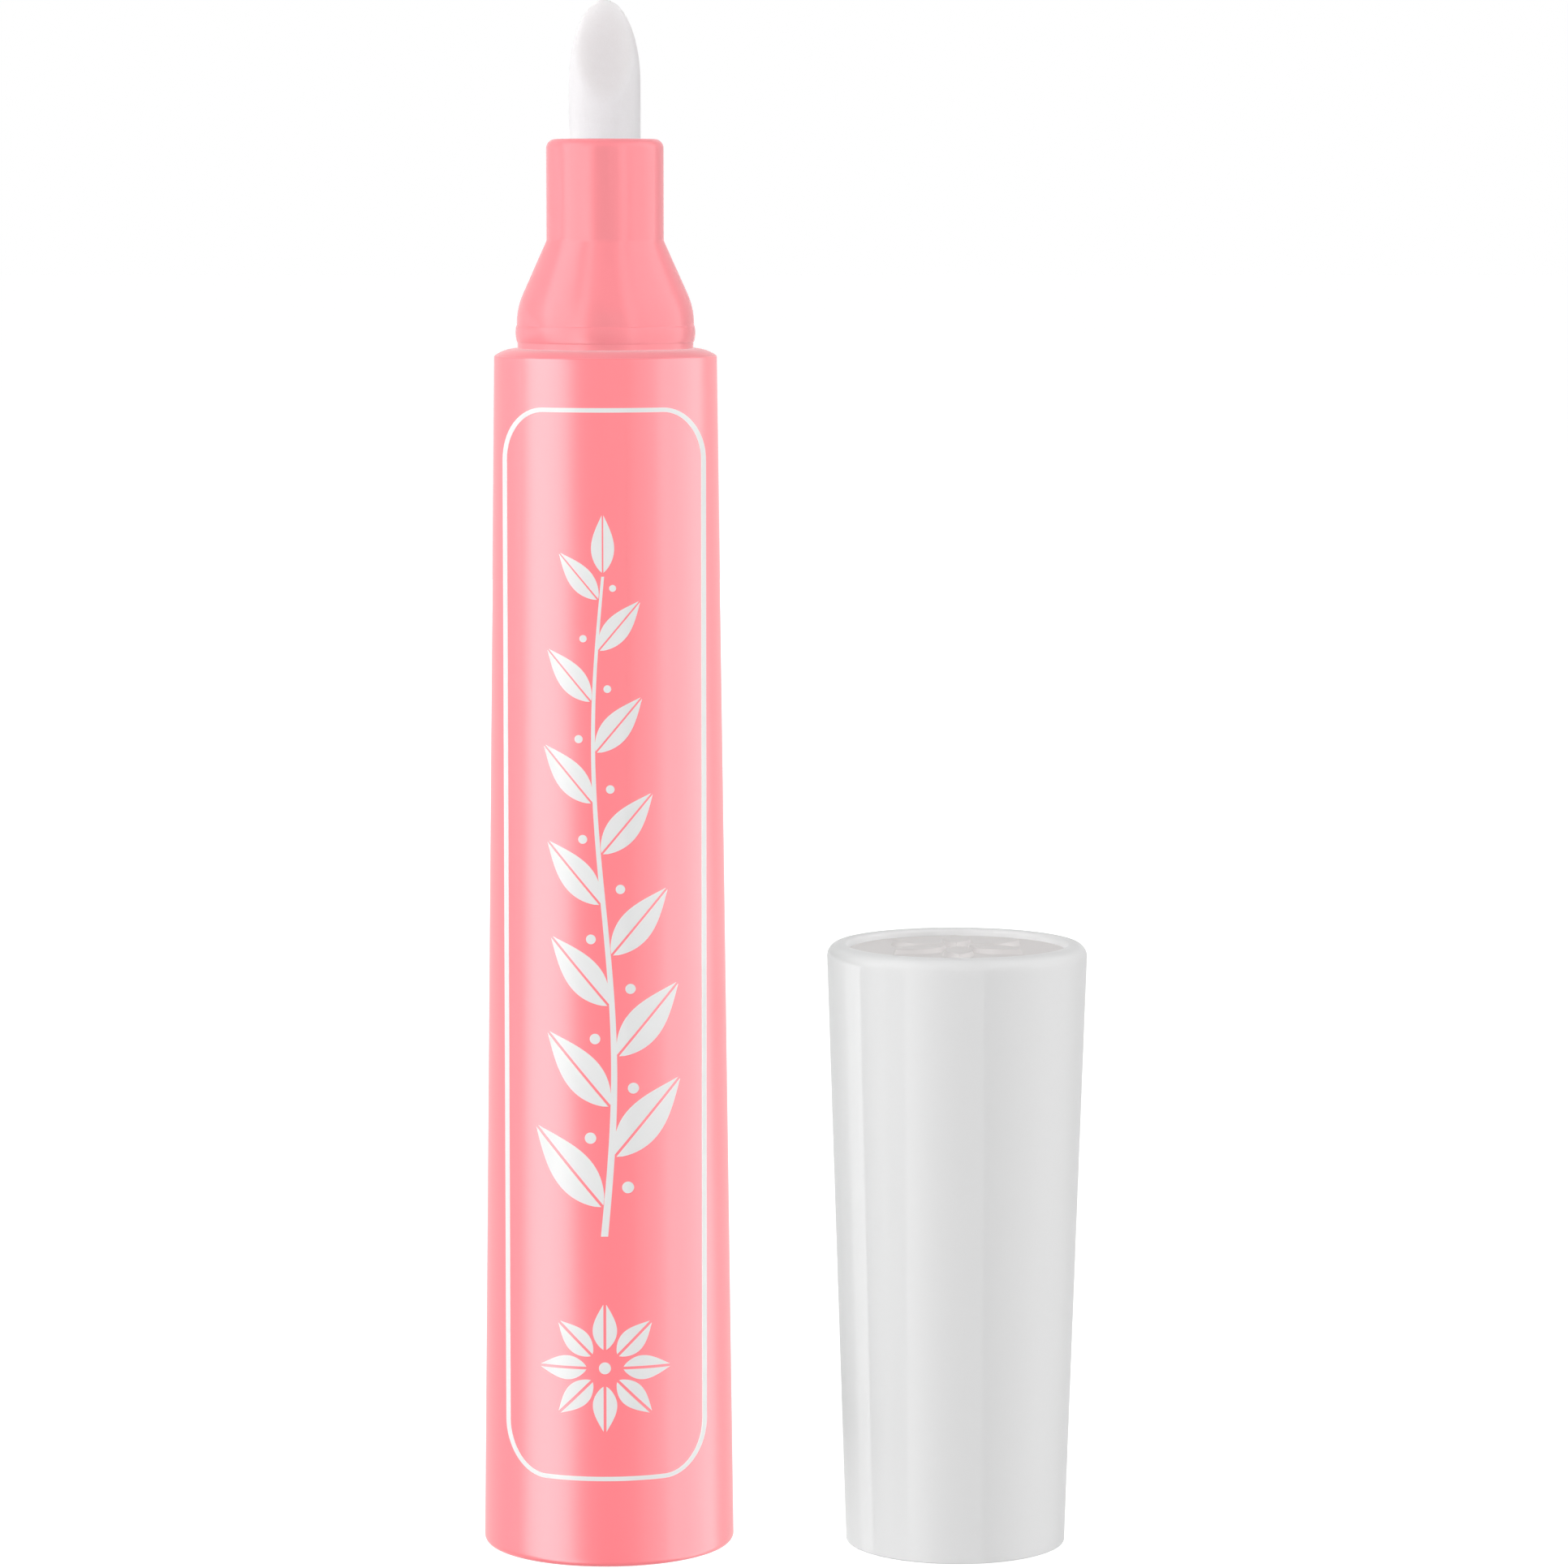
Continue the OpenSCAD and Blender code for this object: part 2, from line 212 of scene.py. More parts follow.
def grown(name, spots, faces, tree, **inputs):
    """Runs a tree on a mesh of points and faces, and gives the piece that it makes."""
    mesh = bpy.data.meshes.new(name)
    mesh.from_pydata(spots, [], faces)
    piece = added(name, mesh)
    modifier = piece.modifiers.new(tree.name, "NODES")
    modifier.node_group = tree
    for item in tree.interface.items_tree:
        key = item.name.lower().replace(" ", "_")
        if item.in_out == "INPUT" and key in inputs:
            modifier[item.identifier] = inputs[key]
    return settled(piece)


def turned(name, profile, material, axis_x=0.0, segments=SEGMENTS):
    """A profile of (radius, height) points turned around an upright axis."""
    on_axis = profile[0][0] == 0.0
    row = [(r, 0.0, z) for r, z in (profile if on_axis else [*profile, profile[0]])]
    return grown(name, row, [], revolve, points=len(row), segments=segments, axis_x=axis_x,
                 material=material)


def fins(name, thick, low, high, inner_r, outer_low, outer_high, count, material, axis_x=0.0):
    """Upright fins around an axis, whose outer edge follows a tapered wall."""
    half = thick / 2
    corners = [(r, side * half, z)
               for z, outer in ((low, outer_low), (high, outer_high))
               for r in (inner_r, outer) for side in (-1, 1)]
    sides = [(0, 2, 3, 1), (4, 5, 7, 6), (0, 1, 5, 4), (2, 6, 7, 3), (0, 4, 6, 2), (1, 3, 7, 5)]
    return grown(name, corners, sides, ring, count=count, axis_x=axis_x, material=material)


def fused(piece, other):
    """Unites two closed pieces into the first, as one moulding."""
    union = piece.modifiers.new("union", "BOOLEAN")
    union.operation = "UNION"
    union.solver = "MANIFOLD"
    union.object = other
    settled(piece)
    bpy.data.objects.remove(other)
    piece.data.set_sharp_from_angle(angle=CREASE_ANGLE)
    return piece


def arc(centre_r, centre_z, radius, start, end, steps=8):
    """Points of a round stretch of a profile, from angle start to end in degrees."""
    angles = [math.radians(start + (end - start) * i / steps) for i in range(steps + 1)]
    return [(centre_r + radius * math.cos(a), centre_z + radius * math.sin(a)) for a in angles]


def straight(start, end, steps, edge=0.25 * MM):
    """Points between two corners of a profile, with a support point close to each."""
    (r0, z0), (r1, z1) = start, end
    lean = edge / math.dist(start, end)
    shares = [lean, *(i / steps for i in range(1, steps)), 1 - lean]
    return [(r0 + (r1 - r0) * s, z0 + (z1 - z0) * s) for s in shares]


def snap(wall_r, z, upward):
    """Profile points of a snap ring, or of its groove in a bore, passed upward or not."""
    half = math.degrees(math.acos((SNAP_R - SNAP_OUT) / SNAP_R)) * (1 if upward else -1)
    return arc(wall_r - SNAP_R + SNAP_OUT, z, SNAP_R, -half, half)


def noise(tree, spot, scale, detail, roughness=0.5, distortion=0.0):
    """A Noise Texture, 0 to 1."""
    return result(tree, "ShaderNodeTexNoise",
                  {"Vector": spot, "Scale": scale, "Detail": detail, "Roughness": roughness,
                   "Distortion": distortion})


def skin_group():
    """Moulded skin: a slow flow pattern along Z, a fine grain and faint scuffs, each 0 to 1."""
    tree = bpy.data.node_groups.new("moulded_skin", "ShaderNodeTree")
    for in_out, names in (("INPUT", ("Flow size", "Grain size")),
                          ("OUTPUT", ("Flow", "Grain", "Scuff"))):
        for name in names:
            tree.interface.new_socket(name, in_out=in_out, socket_type="NodeSocketFloat")
    given = node(tree, "NodeGroupInput").outputs
    place = node(tree, "ShaderNodeTexCoord").outputs["Object"]
    drawn = result(tree, "ShaderNodeMapping", {"Vector": place, "Scale": (1.0, 1.0, 0.22)})
    flow = noise(tree, drawn, maths(tree, "DIVIDE", 1.0, given["Flow size"]), 2.0, 0.45)
    grain = noise(tree, place, maths(tree, "DIVIDE", 1.0, given["Grain size"]), 1.5, 0.6)
    hair = result(tree, "ShaderNodeMapping",
                  {"Vector": place, "Rotation": (0.5, 0.35, 0.2), "Scale": (1.0, 1.0, 0.05)})
    scuff = noise(tree, hair, maths(tree, "DIVIDE", 4.0, given["Flow size"]), 5.0, 0.7)
    marks = result(tree, "ShaderNodeMapRange", {"Value": scuff, "From Min": 0.6, "From Max": 0.72})
    node(tree, "NodeGroupOutput", {"Flow": flow, "Grain": grain, "Scuff": marks})
    return tree


def new_material(name):
    """An empty material and its node tree."""
    material = bpy.data.materials.new(name)
    material.use_nodes = True
    material.node_tree.nodes.clear()
    return material, material.node_tree


def plastic(name, colour, deep, roughness, spread, grain_size, grain_depth, specular, coat=0.0,
            coat_roughness=0.1, flow_size=9 * MM):
    """Moulded plastic between two close shades, with its flow, grain and faint scuffs."""
    material, tree = new_material(name)
    detail = node(tree, "ShaderNodeGroup", {"Flow size": flow_size, "Grain size": grain_size},
                  node_tree=skin).outputs
    shade = node(tree, "ShaderNodeMix", {"Factor": detail["Flow"], "A": deep, "B": colour},
                 data_type="RGBA").outputs["Result"]
    rough = result(tree, "ShaderNodeMapRange",
                   {"Value": detail["Flow"], "From Min": 0.25, "From Max": 0.75,
                    "To Min": roughness - spread, "To Max": roughness + spread})
    scuffed = maths(tree, "MULTIPLY_ADD", detail["Scuff"], spread, rough)
    bump = result(tree, "ShaderNodeBump", {"Height": detail["Grain"], "Distance": grain_depth})
    surface = result(tree, "ShaderNodeBsdfPrincipled",
                     {"Base Color": shade, "Roughness": scuffed, "Normal": bump,
                      "Specular IOR Level": specular, "Coat Weight": coat,
                      "Coat Roughness": coat_roughness})
    node(tree, "ShaderNodeOutputMaterial", {"Surface": surface})
    return material


def barrel_r(z):
    """Outer radius of the barrel at a height."""
    return FOOT_R - barrel_taper * z


def barrel_profile():
    """Outside from the foot's inner edge up to the mouth, then the bore back down."""
    mouth_low = BARREL_LENGTH - MOUTH_ROUND
    foot_edge = arc(barrel_r(FOOT_ROUND) - FOOT_ROUND, FOOT_ROUND, FOOT_ROUND, -90, 0, 12)
    mouth_edge = arc(barrel_r(mouth_low) - MOUTH_ROUND, mouth_low, MOUTH_ROUND, 0, 90, 6)
    bore_low = (barrel_r(PLUG_SEAT_TOP) - BARREL_WALL, PLUG_SEAT_TOP)
    bore_high = (barrel_r(MOUTH_BORE_LOW) - BARREL_WALL, MOUTH_BORE_LOW)
    return [
        (PLUG_SEAT_R, 0.0),
        *foot_edge,
        *straight(foot_edge[-1], mouth_edge[0], 20),
        *mouth_edge,
        (MOUTH_BORE_R, BARREL_LENGTH),
        *snap(MOUTH_BORE_R, SKIRT_SNAP, upward=False),
        (MOUTH_BORE_R, MOUTH_BORE_LOW),
        bore_high,
        *straight(bore_high, bore_low, 6),
        bore_low,
        (PLUG_SEAT_R, PLUG_SEAT_TOP),
        *snap(PLUG_SEAT_R, PLUG_SNAPS[1], upward=False),
        *snap(PLUG_SEAT_R, PLUG_SNAPS[0], upward=False),
    ]


revolve = revolve_tree()
ring = ring_tree()
skin = skin_group()
coral_gloss = plastic("coral_gloss", BARREL_COLOUR, BARREL_DEEP, roughness=0.34, spread=0.02,
                      grain_size=0.6 * MM, grain_depth=0.0006 * MM, specular=0.5, coat=0.3,
                      coat_roughness=0.29)
rib_low, rib_high = PLUG_SEAT_TOP + RIB_END_GAP, MOUTH_BORE_LOW - RIB_END_GAP
barrel_ribs = fins("barrel_ribs", RIB_THICK, rib_low, rib_high, RIB_INNER_R,
                   barrel_r(rib_low) - BARREL_WALL / 2, barrel_r(rib_high) - BARREL_WALL / 2,
                   RIB_COUNT, coral_gloss)
barrel = fused(turned("barrel_tube", barrel_profile(), coral_gloss), barrel_ribs)
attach(barrel, "pen")
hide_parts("barrel")

# Print on the barrel
# One near-white ink, screen printed on the side that faces front: a thin frame line with
# elliptic corners, and inside it a plain sprig of leaves and buds over a small rosette.
FRAME_HALF_X = 7.05 * MM
FRAME_LOW = 6.2 * MM
FRAME_HIGH = 81.1 * MM
CORNER_X = 2.75 * MM
CORNER_Z = 3.6 * MM
CORNER_STEPS = 16
SIDE_STEPS = 90
END_STEPS = 24
LINE_WIDTH = 0.31 * MM
INK_COLOUR = (0.81, 0.81, 0.81, 1.0)
INK_SHADE = (0.78, 0.78, 0.78, 1.0)
STEM_SLIM = 0.6
LEAF_BOW = 0.8
PRINT_SIZES = dict(
    stem_low=23.5 * MM,
    stem_high=69.5 * MM,
    sway=0.7 * MM,
    stem_width=0.5 * MM,
    leaves=13,
    leaf_start=0.5 * MM,
    leaf_length=7.2 * MM,
    leaf_width=2.7 * MM,
    rib=0.2 * MM,
    lean=math.radians(40),
    taper=0.45,
    bud_radius=0.42 * MM,
    bud_reach=1.5 * MM,
    bud_up=1.7 * MM,
    rosette_height=14.2 * MM,
    petals=8,
    petal_start=1.3 * MM,
    petal_length=3.2 * MM,
    petal_width=1.5 * MM,
    foot_radius=FOOT_R,
    mouth_radius=MOUTH_R,
    barrel_length=BARREL_LENGTH,
    rise=0.03 * MM,
    sink=0.015 * MM,
)


def joined(tree, *shapes):
    """Joins geometries into one."""
    join = node(tree, "GeometryNodeJoinGeometry")
    for shape in shapes:
        tree.links.new(shape, join.inputs[0])
    return join.outputs[0]


def blade_tree():
    """A flat leaf along +Z, in two halves with an open midrib between them."""
    tree, given = new_tree("blade", start="Float", length="Float", width="Float", rib="Float")
    grid = result(tree, "GeometryNodeMeshGrid", {"Vertices X": 5, "Vertices Y": 25})
    part = parts_of(tree, result(tree, "GeometryNodeInputPosition"))
    side = maths(tree, "ADD", part["X"], 0.5)
    share = maths(tree, "ADD", part["Y"], 0.5)
    bent = maths(tree, "POWER", share, LEAF_BOW)
    bow = maths(tree, "SINE", maths(tree, "MULTIPLY", bent, math.pi))
    half_width = maths(tree, "MULTIPLY", given["Width"], 0.5)
    reach = maths(tree, "MULTIPLY", maths(tree, "MULTIPLY", side, bow), half_width)
    x = maths(tree, "ADD", reach, maths(tree, "MULTIPLY", given["Rib"], 0.5))
    z = maths(tree, "MULTIPLY_ADD", share, given["Length"], given["Start"])
    half = moved(tree, grid, vector(tree, X=x, Z=z))
    mirrored = result(tree, "GeometryNodeTransform", {"Geometry": half, "Scale": (-1.0, 1.0, 1.0)})
    merged = result(tree, "GeometryNodeMergeByDistance",
                    {"Geometry": joined(tree, half, mirrored), "Distance": MERGE_GAP})
    node(tree, "NodeGroupOutput", {"Geometry": merged})
    return tree


def print_tree():
    """Adds the sprig and rosette to flat line work, then wraps all of it on the taper."""
    kinds = {key: "Int" if isinstance(size, int) else "Float" for key, size in PRINT_SIZES.items()}
    tree, given = new_tree("print", **kinds, material="Material")
    index = result(tree, "GeometryNodeInputIndex")
    part = parts_of(tree, result(tree, "GeometryNodeInputPosition"))
    circle = result(tree, "GeometryNodeMeshCircle", {"Vertices": 24, "Radius": given["Bud radius"]},
                    fill_type="TRIANGLE_FAN")
    dot = result(tree, "GeometryNodeTransform",
                 {"Geometry": circle, "Rotation": (math.pi / 2, 0.0, 0.0)})

    def on_stem(share):
        turn = maths(tree, "MULTIPLY", share, math.tau)
        reach = maths(tree, "SUBTRACT", given["Stem high"], given["Stem low"])
        return (maths(tree, "MULTIPLY", maths(tree, "SINE", turn), given["Sway"]),
                maths(tree, "MULTIPLY_ADD", share, reach, given["Stem low"]))

    def blade(kind):
        sizes = {name: given[f"{kind} {name.lower()}"] for name in ("Start", "Length", "Width")}
        return result(tree, "GeometryNodeGroup", {**sizes, "Rib": given["Rib"]},
                      node_tree=leaf_blade)

    def copies(count, x, z, shape, size=(1.0, 1.0, 1.0), turn=0.0):
        points = result(tree, "GeometryNodePoints",
                        {"Count": count, "Position": vector(tree, X=x, Z=z)})
        return result(tree, "GeometryNodeInstanceOnPoints",
                      {"Points": points, "Instance": shape, "Rotation": vector(tree, Y=turn),
                       "Scale": size})

    strip = result(tree, "GeometryNodeMeshGrid", {"Vertices X": 3, "Vertices Y": 120})
    share = maths(tree, "ADD", part["Y"], 0.5)
    slim = maths(tree, "MULTIPLY_ADD", share, -STEM_SLIM, 1.0)
    side = maths(tree, "MULTIPLY", maths(tree, "MULTIPLY", part["X"], given["Stem width"]), slim)
    x, z = on_stem(share)
    stem = moved(tree, strip, vector(tree, X=maths(tree, "ADD", x, side), Z=z))

    step = maths(tree, "DIVIDE", maths(tree, "ADD", index, 0.5), given["Leaves"])
    hand = maths(tree, "MULTIPLY_ADD", maths(tree, "MODULO", index, 2.0), 2.0, -1.0)
    size = maths(tree, "SUBTRACT", 1.0, maths(tree, "MULTIPLY", step, given["Taper"]))
    x, z = on_stem(step)
    leaf = blade("Leaf")
    leaves = copies(given["Leaves"], x, z, leaf, size, maths(tree, "MULTIPLY", hand, given["Lean"]))
    reach = maths(tree, "MULTIPLY", maths(tree, "MULTIPLY", hand, given["Bud reach"]), size)
    above = maths(tree, "MULTIPLY_ADD", size, given["Bud up"], z)
    buds = copies(given["Leaves"], maths(tree, "SUBTRACT", x, reach), above, dot, size)
    last = copies(1, *on_stem(1.0), leaf, maths(tree, "SUBTRACT", 1.0, given["Taper"]))

    turn = maths(tree, "MULTIPLY", maths(tree, "DIVIDE", index, given["Petals"]), math.tau)
    petals = copies(given["Petals"], 0.0, given["Rosette height"], blade("Petal"), turn=turn)
    centre = copies(1, 0.0, given["Rosette height"], dot)

    art = joined(tree, centre, petals, last, buds, leaves, stem, given["Geometry"])
    real = result(tree, "GeometryNodeRealizeInstances", {"Geometry": art})
    base = result(tree, "GeometryNodeSetPosition",
                  {"Geometry": real, "Offset": vector(tree, Y=given["Sink"])})
    depth = maths(tree, "MULTIPLY", maths(tree, "ADD", given["Rise"], given["Sink"]), -1.0)
    raised = result(tree, "GeometryNodeExtrudeMesh",
                    {"Mesh": base, "Offset": vector(tree, Y=depth), "Individual": False},
                    mode="FACES")

    climb = maths(tree, "DIVIDE", part["Z"], given["Barrel length"])
    drop = maths(tree, "SUBTRACT", given["Mouth radius"], given["Foot radius"])
    wall = maths(tree, "MULTIPLY_ADD", climb, drop, given["Foot radius"])
    turn = maths(tree, "ARCSINE", maths(tree, "DIVIDE", part["X"], wall))
    radius = maths(tree, "SUBTRACT", wall, part["Y"])
    x = maths(tree, "MULTIPLY", radius, maths(tree, "SINE", turn))
    y = maths(tree, "MULTIPLY", maths(tree, "MULTIPLY", radius, maths(tree, "COSINE", turn)), -1.0)
    wrapped = moved(tree, joined(tree, base, raised), vector(tree, X=x, Y=y, Z=part["Z"]))
    return close_tree(tree, wrapped, given)


def frame_line():
    """Flat closed line with elliptic corners, three points across: spots and faces."""
    reach_x = FRAME_HALF_X - LINE_WIDTH / 2 - CORNER_X
    reach_z = (FRAME_HIGH - FRAME_LOW - LINE_WIDTH) / 2 - CORNER_Z
    centre_z = (FRAME_LOW + FRAME_HIGH) / 2
    path = []
    for quarter, (sx, sz) in enumerate(((1, 1), (-1, 1), (-1, -1), (1, -1))):
        for i in range(CORNER_STEPS + 1):
            a = math.radians(90 * (quarter + i / CORNER_STEPS))
            spot = Vector((sx * reach_x + CORNER_X * math.cos(a),
                           sz * reach_z + CORNER_Z * math.sin(a)))
            path.append((spot, Vector((CORNER_Z * math.cos(a), CORNER_X * math.sin(a)))))
        steps = SIDE_STEPS if quarter in (1, 3) else END_STEPS
        run = (-sx * 2 * reach_x, 0) if quarter in (0, 2) else (0, -sz * 2 * reach_z)
        start, normal = path[-1]
        path.extend((start + Vector(run) * i / steps, normal) for i in range(1, steps))
    spots = []
    for spot, normal in path:
        for side in (-0.5, 0.0, 0.5):
            x, z = spot + normal.normalized() * side * LINE_WIDTH
            spots.append((x, 0.0, centre_z + z))
    faces = [(3 * i + k, 3 * i + k + 1, 3 * j + k + 1, 3 * j + k)
             for i in range(len(path)) for j in [(i + 1) % len(path)] for k in range(2)]
    return spots, faces


leaf_blade = blade_tree()
ink = plastic("print_ink", INK_COLOUR, INK_SHADE, roughness=0.35, spread=0.03,
              grain_size=0.15 * MM, grain_depth=0.001 * MM, specular=0.2)
barrel_print = grown("barrel_print", *frame_line(), print_tree(), **PRINT_SIZES, material=ink)
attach(barrel_print, "pen")

# Rear plug
# Coral plug pushed into the barrel's foot after the reservoir, held by two snap rings. Its
# dished disc lies a little inside the foot, and cross ribs carry the reservoir.
plug_low, plug_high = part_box("rear_plug")
PLUG_R = 7.73 * MM
PLUG_DISC = 1.3 * MM
PLUG_WALL = 0.9 * MM
PLUG_LEAD = 0.3 * MM
PLUG_EDGE_ROUND = 0.15 * MM
PLUG_DISH_R = 4.6 * MM
PLUG_DISH_DEEP = 0.35 * MM
PLUG_RIB_THICK = 0.9 * MM
CLOSE_SUPPORT = 0.1 * MM
PLUG_COLOUR = (0.96, 0.19, 0.22, 1.0)
PLUG_DEEP = (0.94, 0.175, 0.205, 1.0)


def plug_profile():
    """From the middle of the dish out to the edge, up the skirt and back under the disc."""
    face, top = plug_low.z, plug_high.z
    dish = (PLUG_DISH_R, face + PLUG_DISH_DEEP)
    lip = arc(PLUG_DISH_R + PLUG_EDGE_ROUND, face + PLUG_EDGE_ROUND, PLUG_EDGE_ROUND, 180, 270, 6)
    edge = arc(PLUG_R - PLUG_EDGE_ROUND, face + PLUG_EDGE_ROUND, PLUG_EDGE_ROUND, -90, 0, 6)
    return [
        (0.0, dish[1]),
        *straight((0.0, dish[1]), dish, 8, CLOSE_SUPPORT),
        dish,
        *lip,
        *straight(lip[-1], edge[0], 3, CLOSE_SUPPORT),
        *edge,
        *snap(PLUG_R, PLUG_SNAPS[0], upward=True),
        *snap(PLUG_R, PLUG_SNAPS[1], upward=True),
        (PLUG_R, top - PLUG_LEAD),
        (PLUG_R - PLUG_LEAD, top),
        (PLUG_R - PLUG_WALL, top),
        (PLUG_R - PLUG_WALL, face + PLUG_DISC),
        (0.0, face + PLUG_DISC),
    ]


def stacked(rings):
    """Spots and faces of a closed body from rings of points, one above another."""
    count = len(rings[0])
    last = (len(rings) - 1) * count
    faces = [(i + j, i + (j + 1) % count, i + count + (j + 1) % count, i + count + j)
             for i in range(0, last, count) for j in range(count)]
    ends = [tuple(range(i, i + count)) for i in (0, last)]
    return [spot for ring in rings for spot in ring], faces + ends


def cross_ribs():
    """Spots and faces of the plug's two upright ribs, which cross on the axis."""
    half, reach = PLUG_RIB_THICK / 2, PLUG_R - PLUG_WALL / 2
    quarters = ((1, 0), (0, 1), (-1, 0), (0, -1))
    outline = [(x * c - y * s, x * s + y * c) for c, s in quarters
               for x, y in ((half, -half), (reach, -half), (reach, half))]
    heights = (plug_low.z + PLUG_DISC / 2, plug_high.z)
    return stacked([[(x, y, z) for x, y in outline] for z in heights])


# This tree only closes a mesh that is ready.
finish, given = new_tree("finish", material="Material")
close_tree(finish, given["Geometry"], given)
plug_coral = plastic("plug_coral", PLUG_COLOUR, PLUG_DEEP, roughness=0.34, spread=0.03,
                     grain_size=0.3 * MM, grain_depth=0.002 * MM, specular=0.4)
plug_ribs = grown("plug_ribs", *cross_ribs(), finish, material=plug_coral)
plug = fused(turned("foot_plug", plug_profile(), plug_coral), plug_ribs)
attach(plug, "pen")
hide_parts("rear_plug")

# Reservoir
# A rod of bonded polyester fibres that holds the oil, wrapped in thin clear film. Both are
# inside the barrel, and the nib's tail is pressed into the rod's front end.
core_low, core_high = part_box("reservoir_core")
FILM_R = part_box("reservoir_sleeve")[1].x
FILM_THICK = 0.2 * MM
CORE_EDGE_ROUND = 0.3 * MM
TAIL_SOCKET_R = 2.52 * MM
TAIL_SOCKET_DEEP = 4.0 * MM
FIBRE_COLOUR = (0.85, 0.81, 0.72, 1.0)
FIBRE_SHADE = (0.72, 0.67, 0.57, 1.0)
FIBRE_SIZE = 0.12 * MM
CLUMP_SCALE = 0.14
SOAK_SCALE = 40
CRINKLE_SIZE = 3 * MM
CRINKLE_DEPTH = 0.02 * MM
FILM_COLOUR = (0.9, 0.93, 0.95, 1.0)
FILM_ALPHA = 0.5


def felt(name, colour, shade, fibre_size, depth, draw, roughness, soak=0.0):
    """Bonded fibres along Z: mottled tone, a fibrous bump, painted shade where it faces up or down.
    """
    material, tree = new_material(name)
    coordinates = node(tree, "ShaderNodeTexCoord").outputs
    place = coordinates["Object"]
    drawn = result(tree, "ShaderNodeMapping", {"Vector": place, "Scale": (1.0, 1.0, 1.0 / draw)})
    fibres = noise(tree, drawn, 1.0 / fibre_size, 4.0, 0.65, 0.4)
    clumps = noise(tree, place, CLUMP_SCALE / fibre_size, 3.0)
    level = parts_of(tree, coordinates["Normal"])["Z"]
    # Painted shade: where the surface faces up or down (the nib's slanted face and tip, the rod's
    # ends) the tone goes to the darker colour.
    ends = result(tree, "ShaderNodeMapRange",
                  {"Value": maths(tree, "ABSOLUTE", level), "From Min": 0.1, "From Max": 0.32,
                   "To Min": 0.6, "To Max": 0.1})
    streaks_and_painted_shade = maths(tree, "MULTIPLY_ADD", maths(tree, "SUBTRACT", fibres, 0.5), 0.8, ends)
    tone = maths(tree, "MULTIPLY_ADD", maths(tree, "SUBTRACT", clumps, 0.5), 0.3, streaks_and_painted_shade)
    mixed = node(tree, "ShaderNodeMix", {"Factor": tone, "A": shade, "B": colour},
                 data_type="RGBA").outputs["Result"]
    bump = result(tree, "ShaderNodeBump", {"Height": fibres, "Distance": depth})
    surface = result(tree, "ShaderNodeBsdfPrincipled",
                     {"Base Color": mixed, "Roughness": roughness, "Normal": bump,
                      "Specular IOR Level": 0.15, "Sheen Weight": 0.12, "Sheen Roughness": 0.6,
                      "Subsurface Weight": soak, "Subsurface Radius": (1.0, 1.0, 1.0),
                      "Subsurface Scale": SOAK_SCALE * fibre_size})
    node(tree, "ShaderNodeOutputMaterial", {"Surface": surface})
    return material


def clear_film():
    """Thin clear film: half see-through, with a faint crinkle in its gloss."""
    material, tree = new_material("clear_film")
    place = node(tree, "ShaderNodeTexCoord").outputs["Object"]
    crinkle = noise(tree, place, 1.0 / CRINKLE_SIZE, 3.0)
    rough = result(tree, "ShaderNodeMapRange", {"Value": crinkle, "To Min": 0.1, "To Max": 0.25})
    bump = result(tree, "ShaderNodeBump", {"Height": crinkle, "Distance": CRINKLE_DEPTH})
    surface = result(tree, "ShaderNodeBsdfPrincipled",
                     {"Base Color": FILM_COLOUR, "Roughness": rough, "Normal": bump,
                      "Alpha": FILM_ALPHA})
    node(tree, "ShaderNodeOutputMaterial", {"Surface": surface})
    return material


def core_profile():
    """The rod with softened ends and the socket for the nib's tail."""
    r, low, high = core_high.x, core_low.z, core_high.z
    floor = high - TAIL_SOCKET_DEEP
    bottom = arc(r - CORE_EDGE_ROUND, low + CORE_EDGE_ROUND, CORE_EDGE_ROUND, -90, 0, 6)
    top = arc(r - CORE_EDGE_ROUND, high - CORE_EDGE_ROUND, CORE_EDGE_ROUND, 0, 90, 6)
    return [(0.0, low), *bottom, *straight(bottom[-1], top[0], 16), *top,
            (TAIL_SOCKET_R, high), (TAIL_SOCKET_R, floor), (0.0, floor)]


core = turned("oil_core", core_profile(),
              felt("bonded_fibre", FIBRE_COLOUR, FIBRE_SHADE, FIBRE_SIZE, depth=0.03 * MM,
                   draw=12.0, roughness=0.9))
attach(core, "pen")
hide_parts("reservoir_core")
film_ends = [(FILM_R - FILM_THICK, core_low.z), (FILM_R, core_low.z), (FILM_R, core_high.z),
             (FILM_R - FILM_THICK, core_high.z)]
film = turned("core_film", film_ends, clear_film())
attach(film, "pen")
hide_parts("reservoir_sleeve")

# Front section
# One moulding in the barrel's coral, with a satin skin: a skirt inside the barrel, a domed
# flange on its mouth, the neck with the bead that the cap snaps over, the cone and the nose.
section_low, section_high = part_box("front_section")
LIP_Z = section_high.z
FLANGE_R = section_high.x
FLANGE_RISE = 0.5 * MM
NECK_R = 6.2 * MM
NECK_RELIEF = 0.05 * MM
BEAD_UP = 1.0 * MM
BEAD_HALF = 0.6 * MM
BEAD_OUT = 0.09 * MM
BEAD_STEPS = 24
CORNER_UP = 2.8 * MM
CONE_RISE = 4.7 * MM
CONE_BLEND = 5.0 * MM
NOSE_R = 4.1 * MM
NOSE_BLEND = 0.5 * MM
LIP_ROUND = 0.65 * MM
LIP_BORE_R = 2.62 * MM
LIP_DEPTH = 1.0 * MM
LIP_BREAK = 0.15 * MM
NOSE_BORE_R = 2.9 * MM
SECTION_WALL = 1.2 * MM
SKIRT_R = 6.57 * MM
SKIRT_INNER_R = 5.97 * MM
SKIRT_LEAD = 0.25 * MM
GRIP_COUNT = 6
GRIP_THICK = 0.7 * MM
GRIP_INNER_R = 2.52 * MM
NECK_SUPPORT = 0.08 * MM
SECTION_COLOUR = (1.0, 0.285, 0.32, 1.0)
SECTION_DEEP = (0.985, 0.27, 0.305, 1.0)
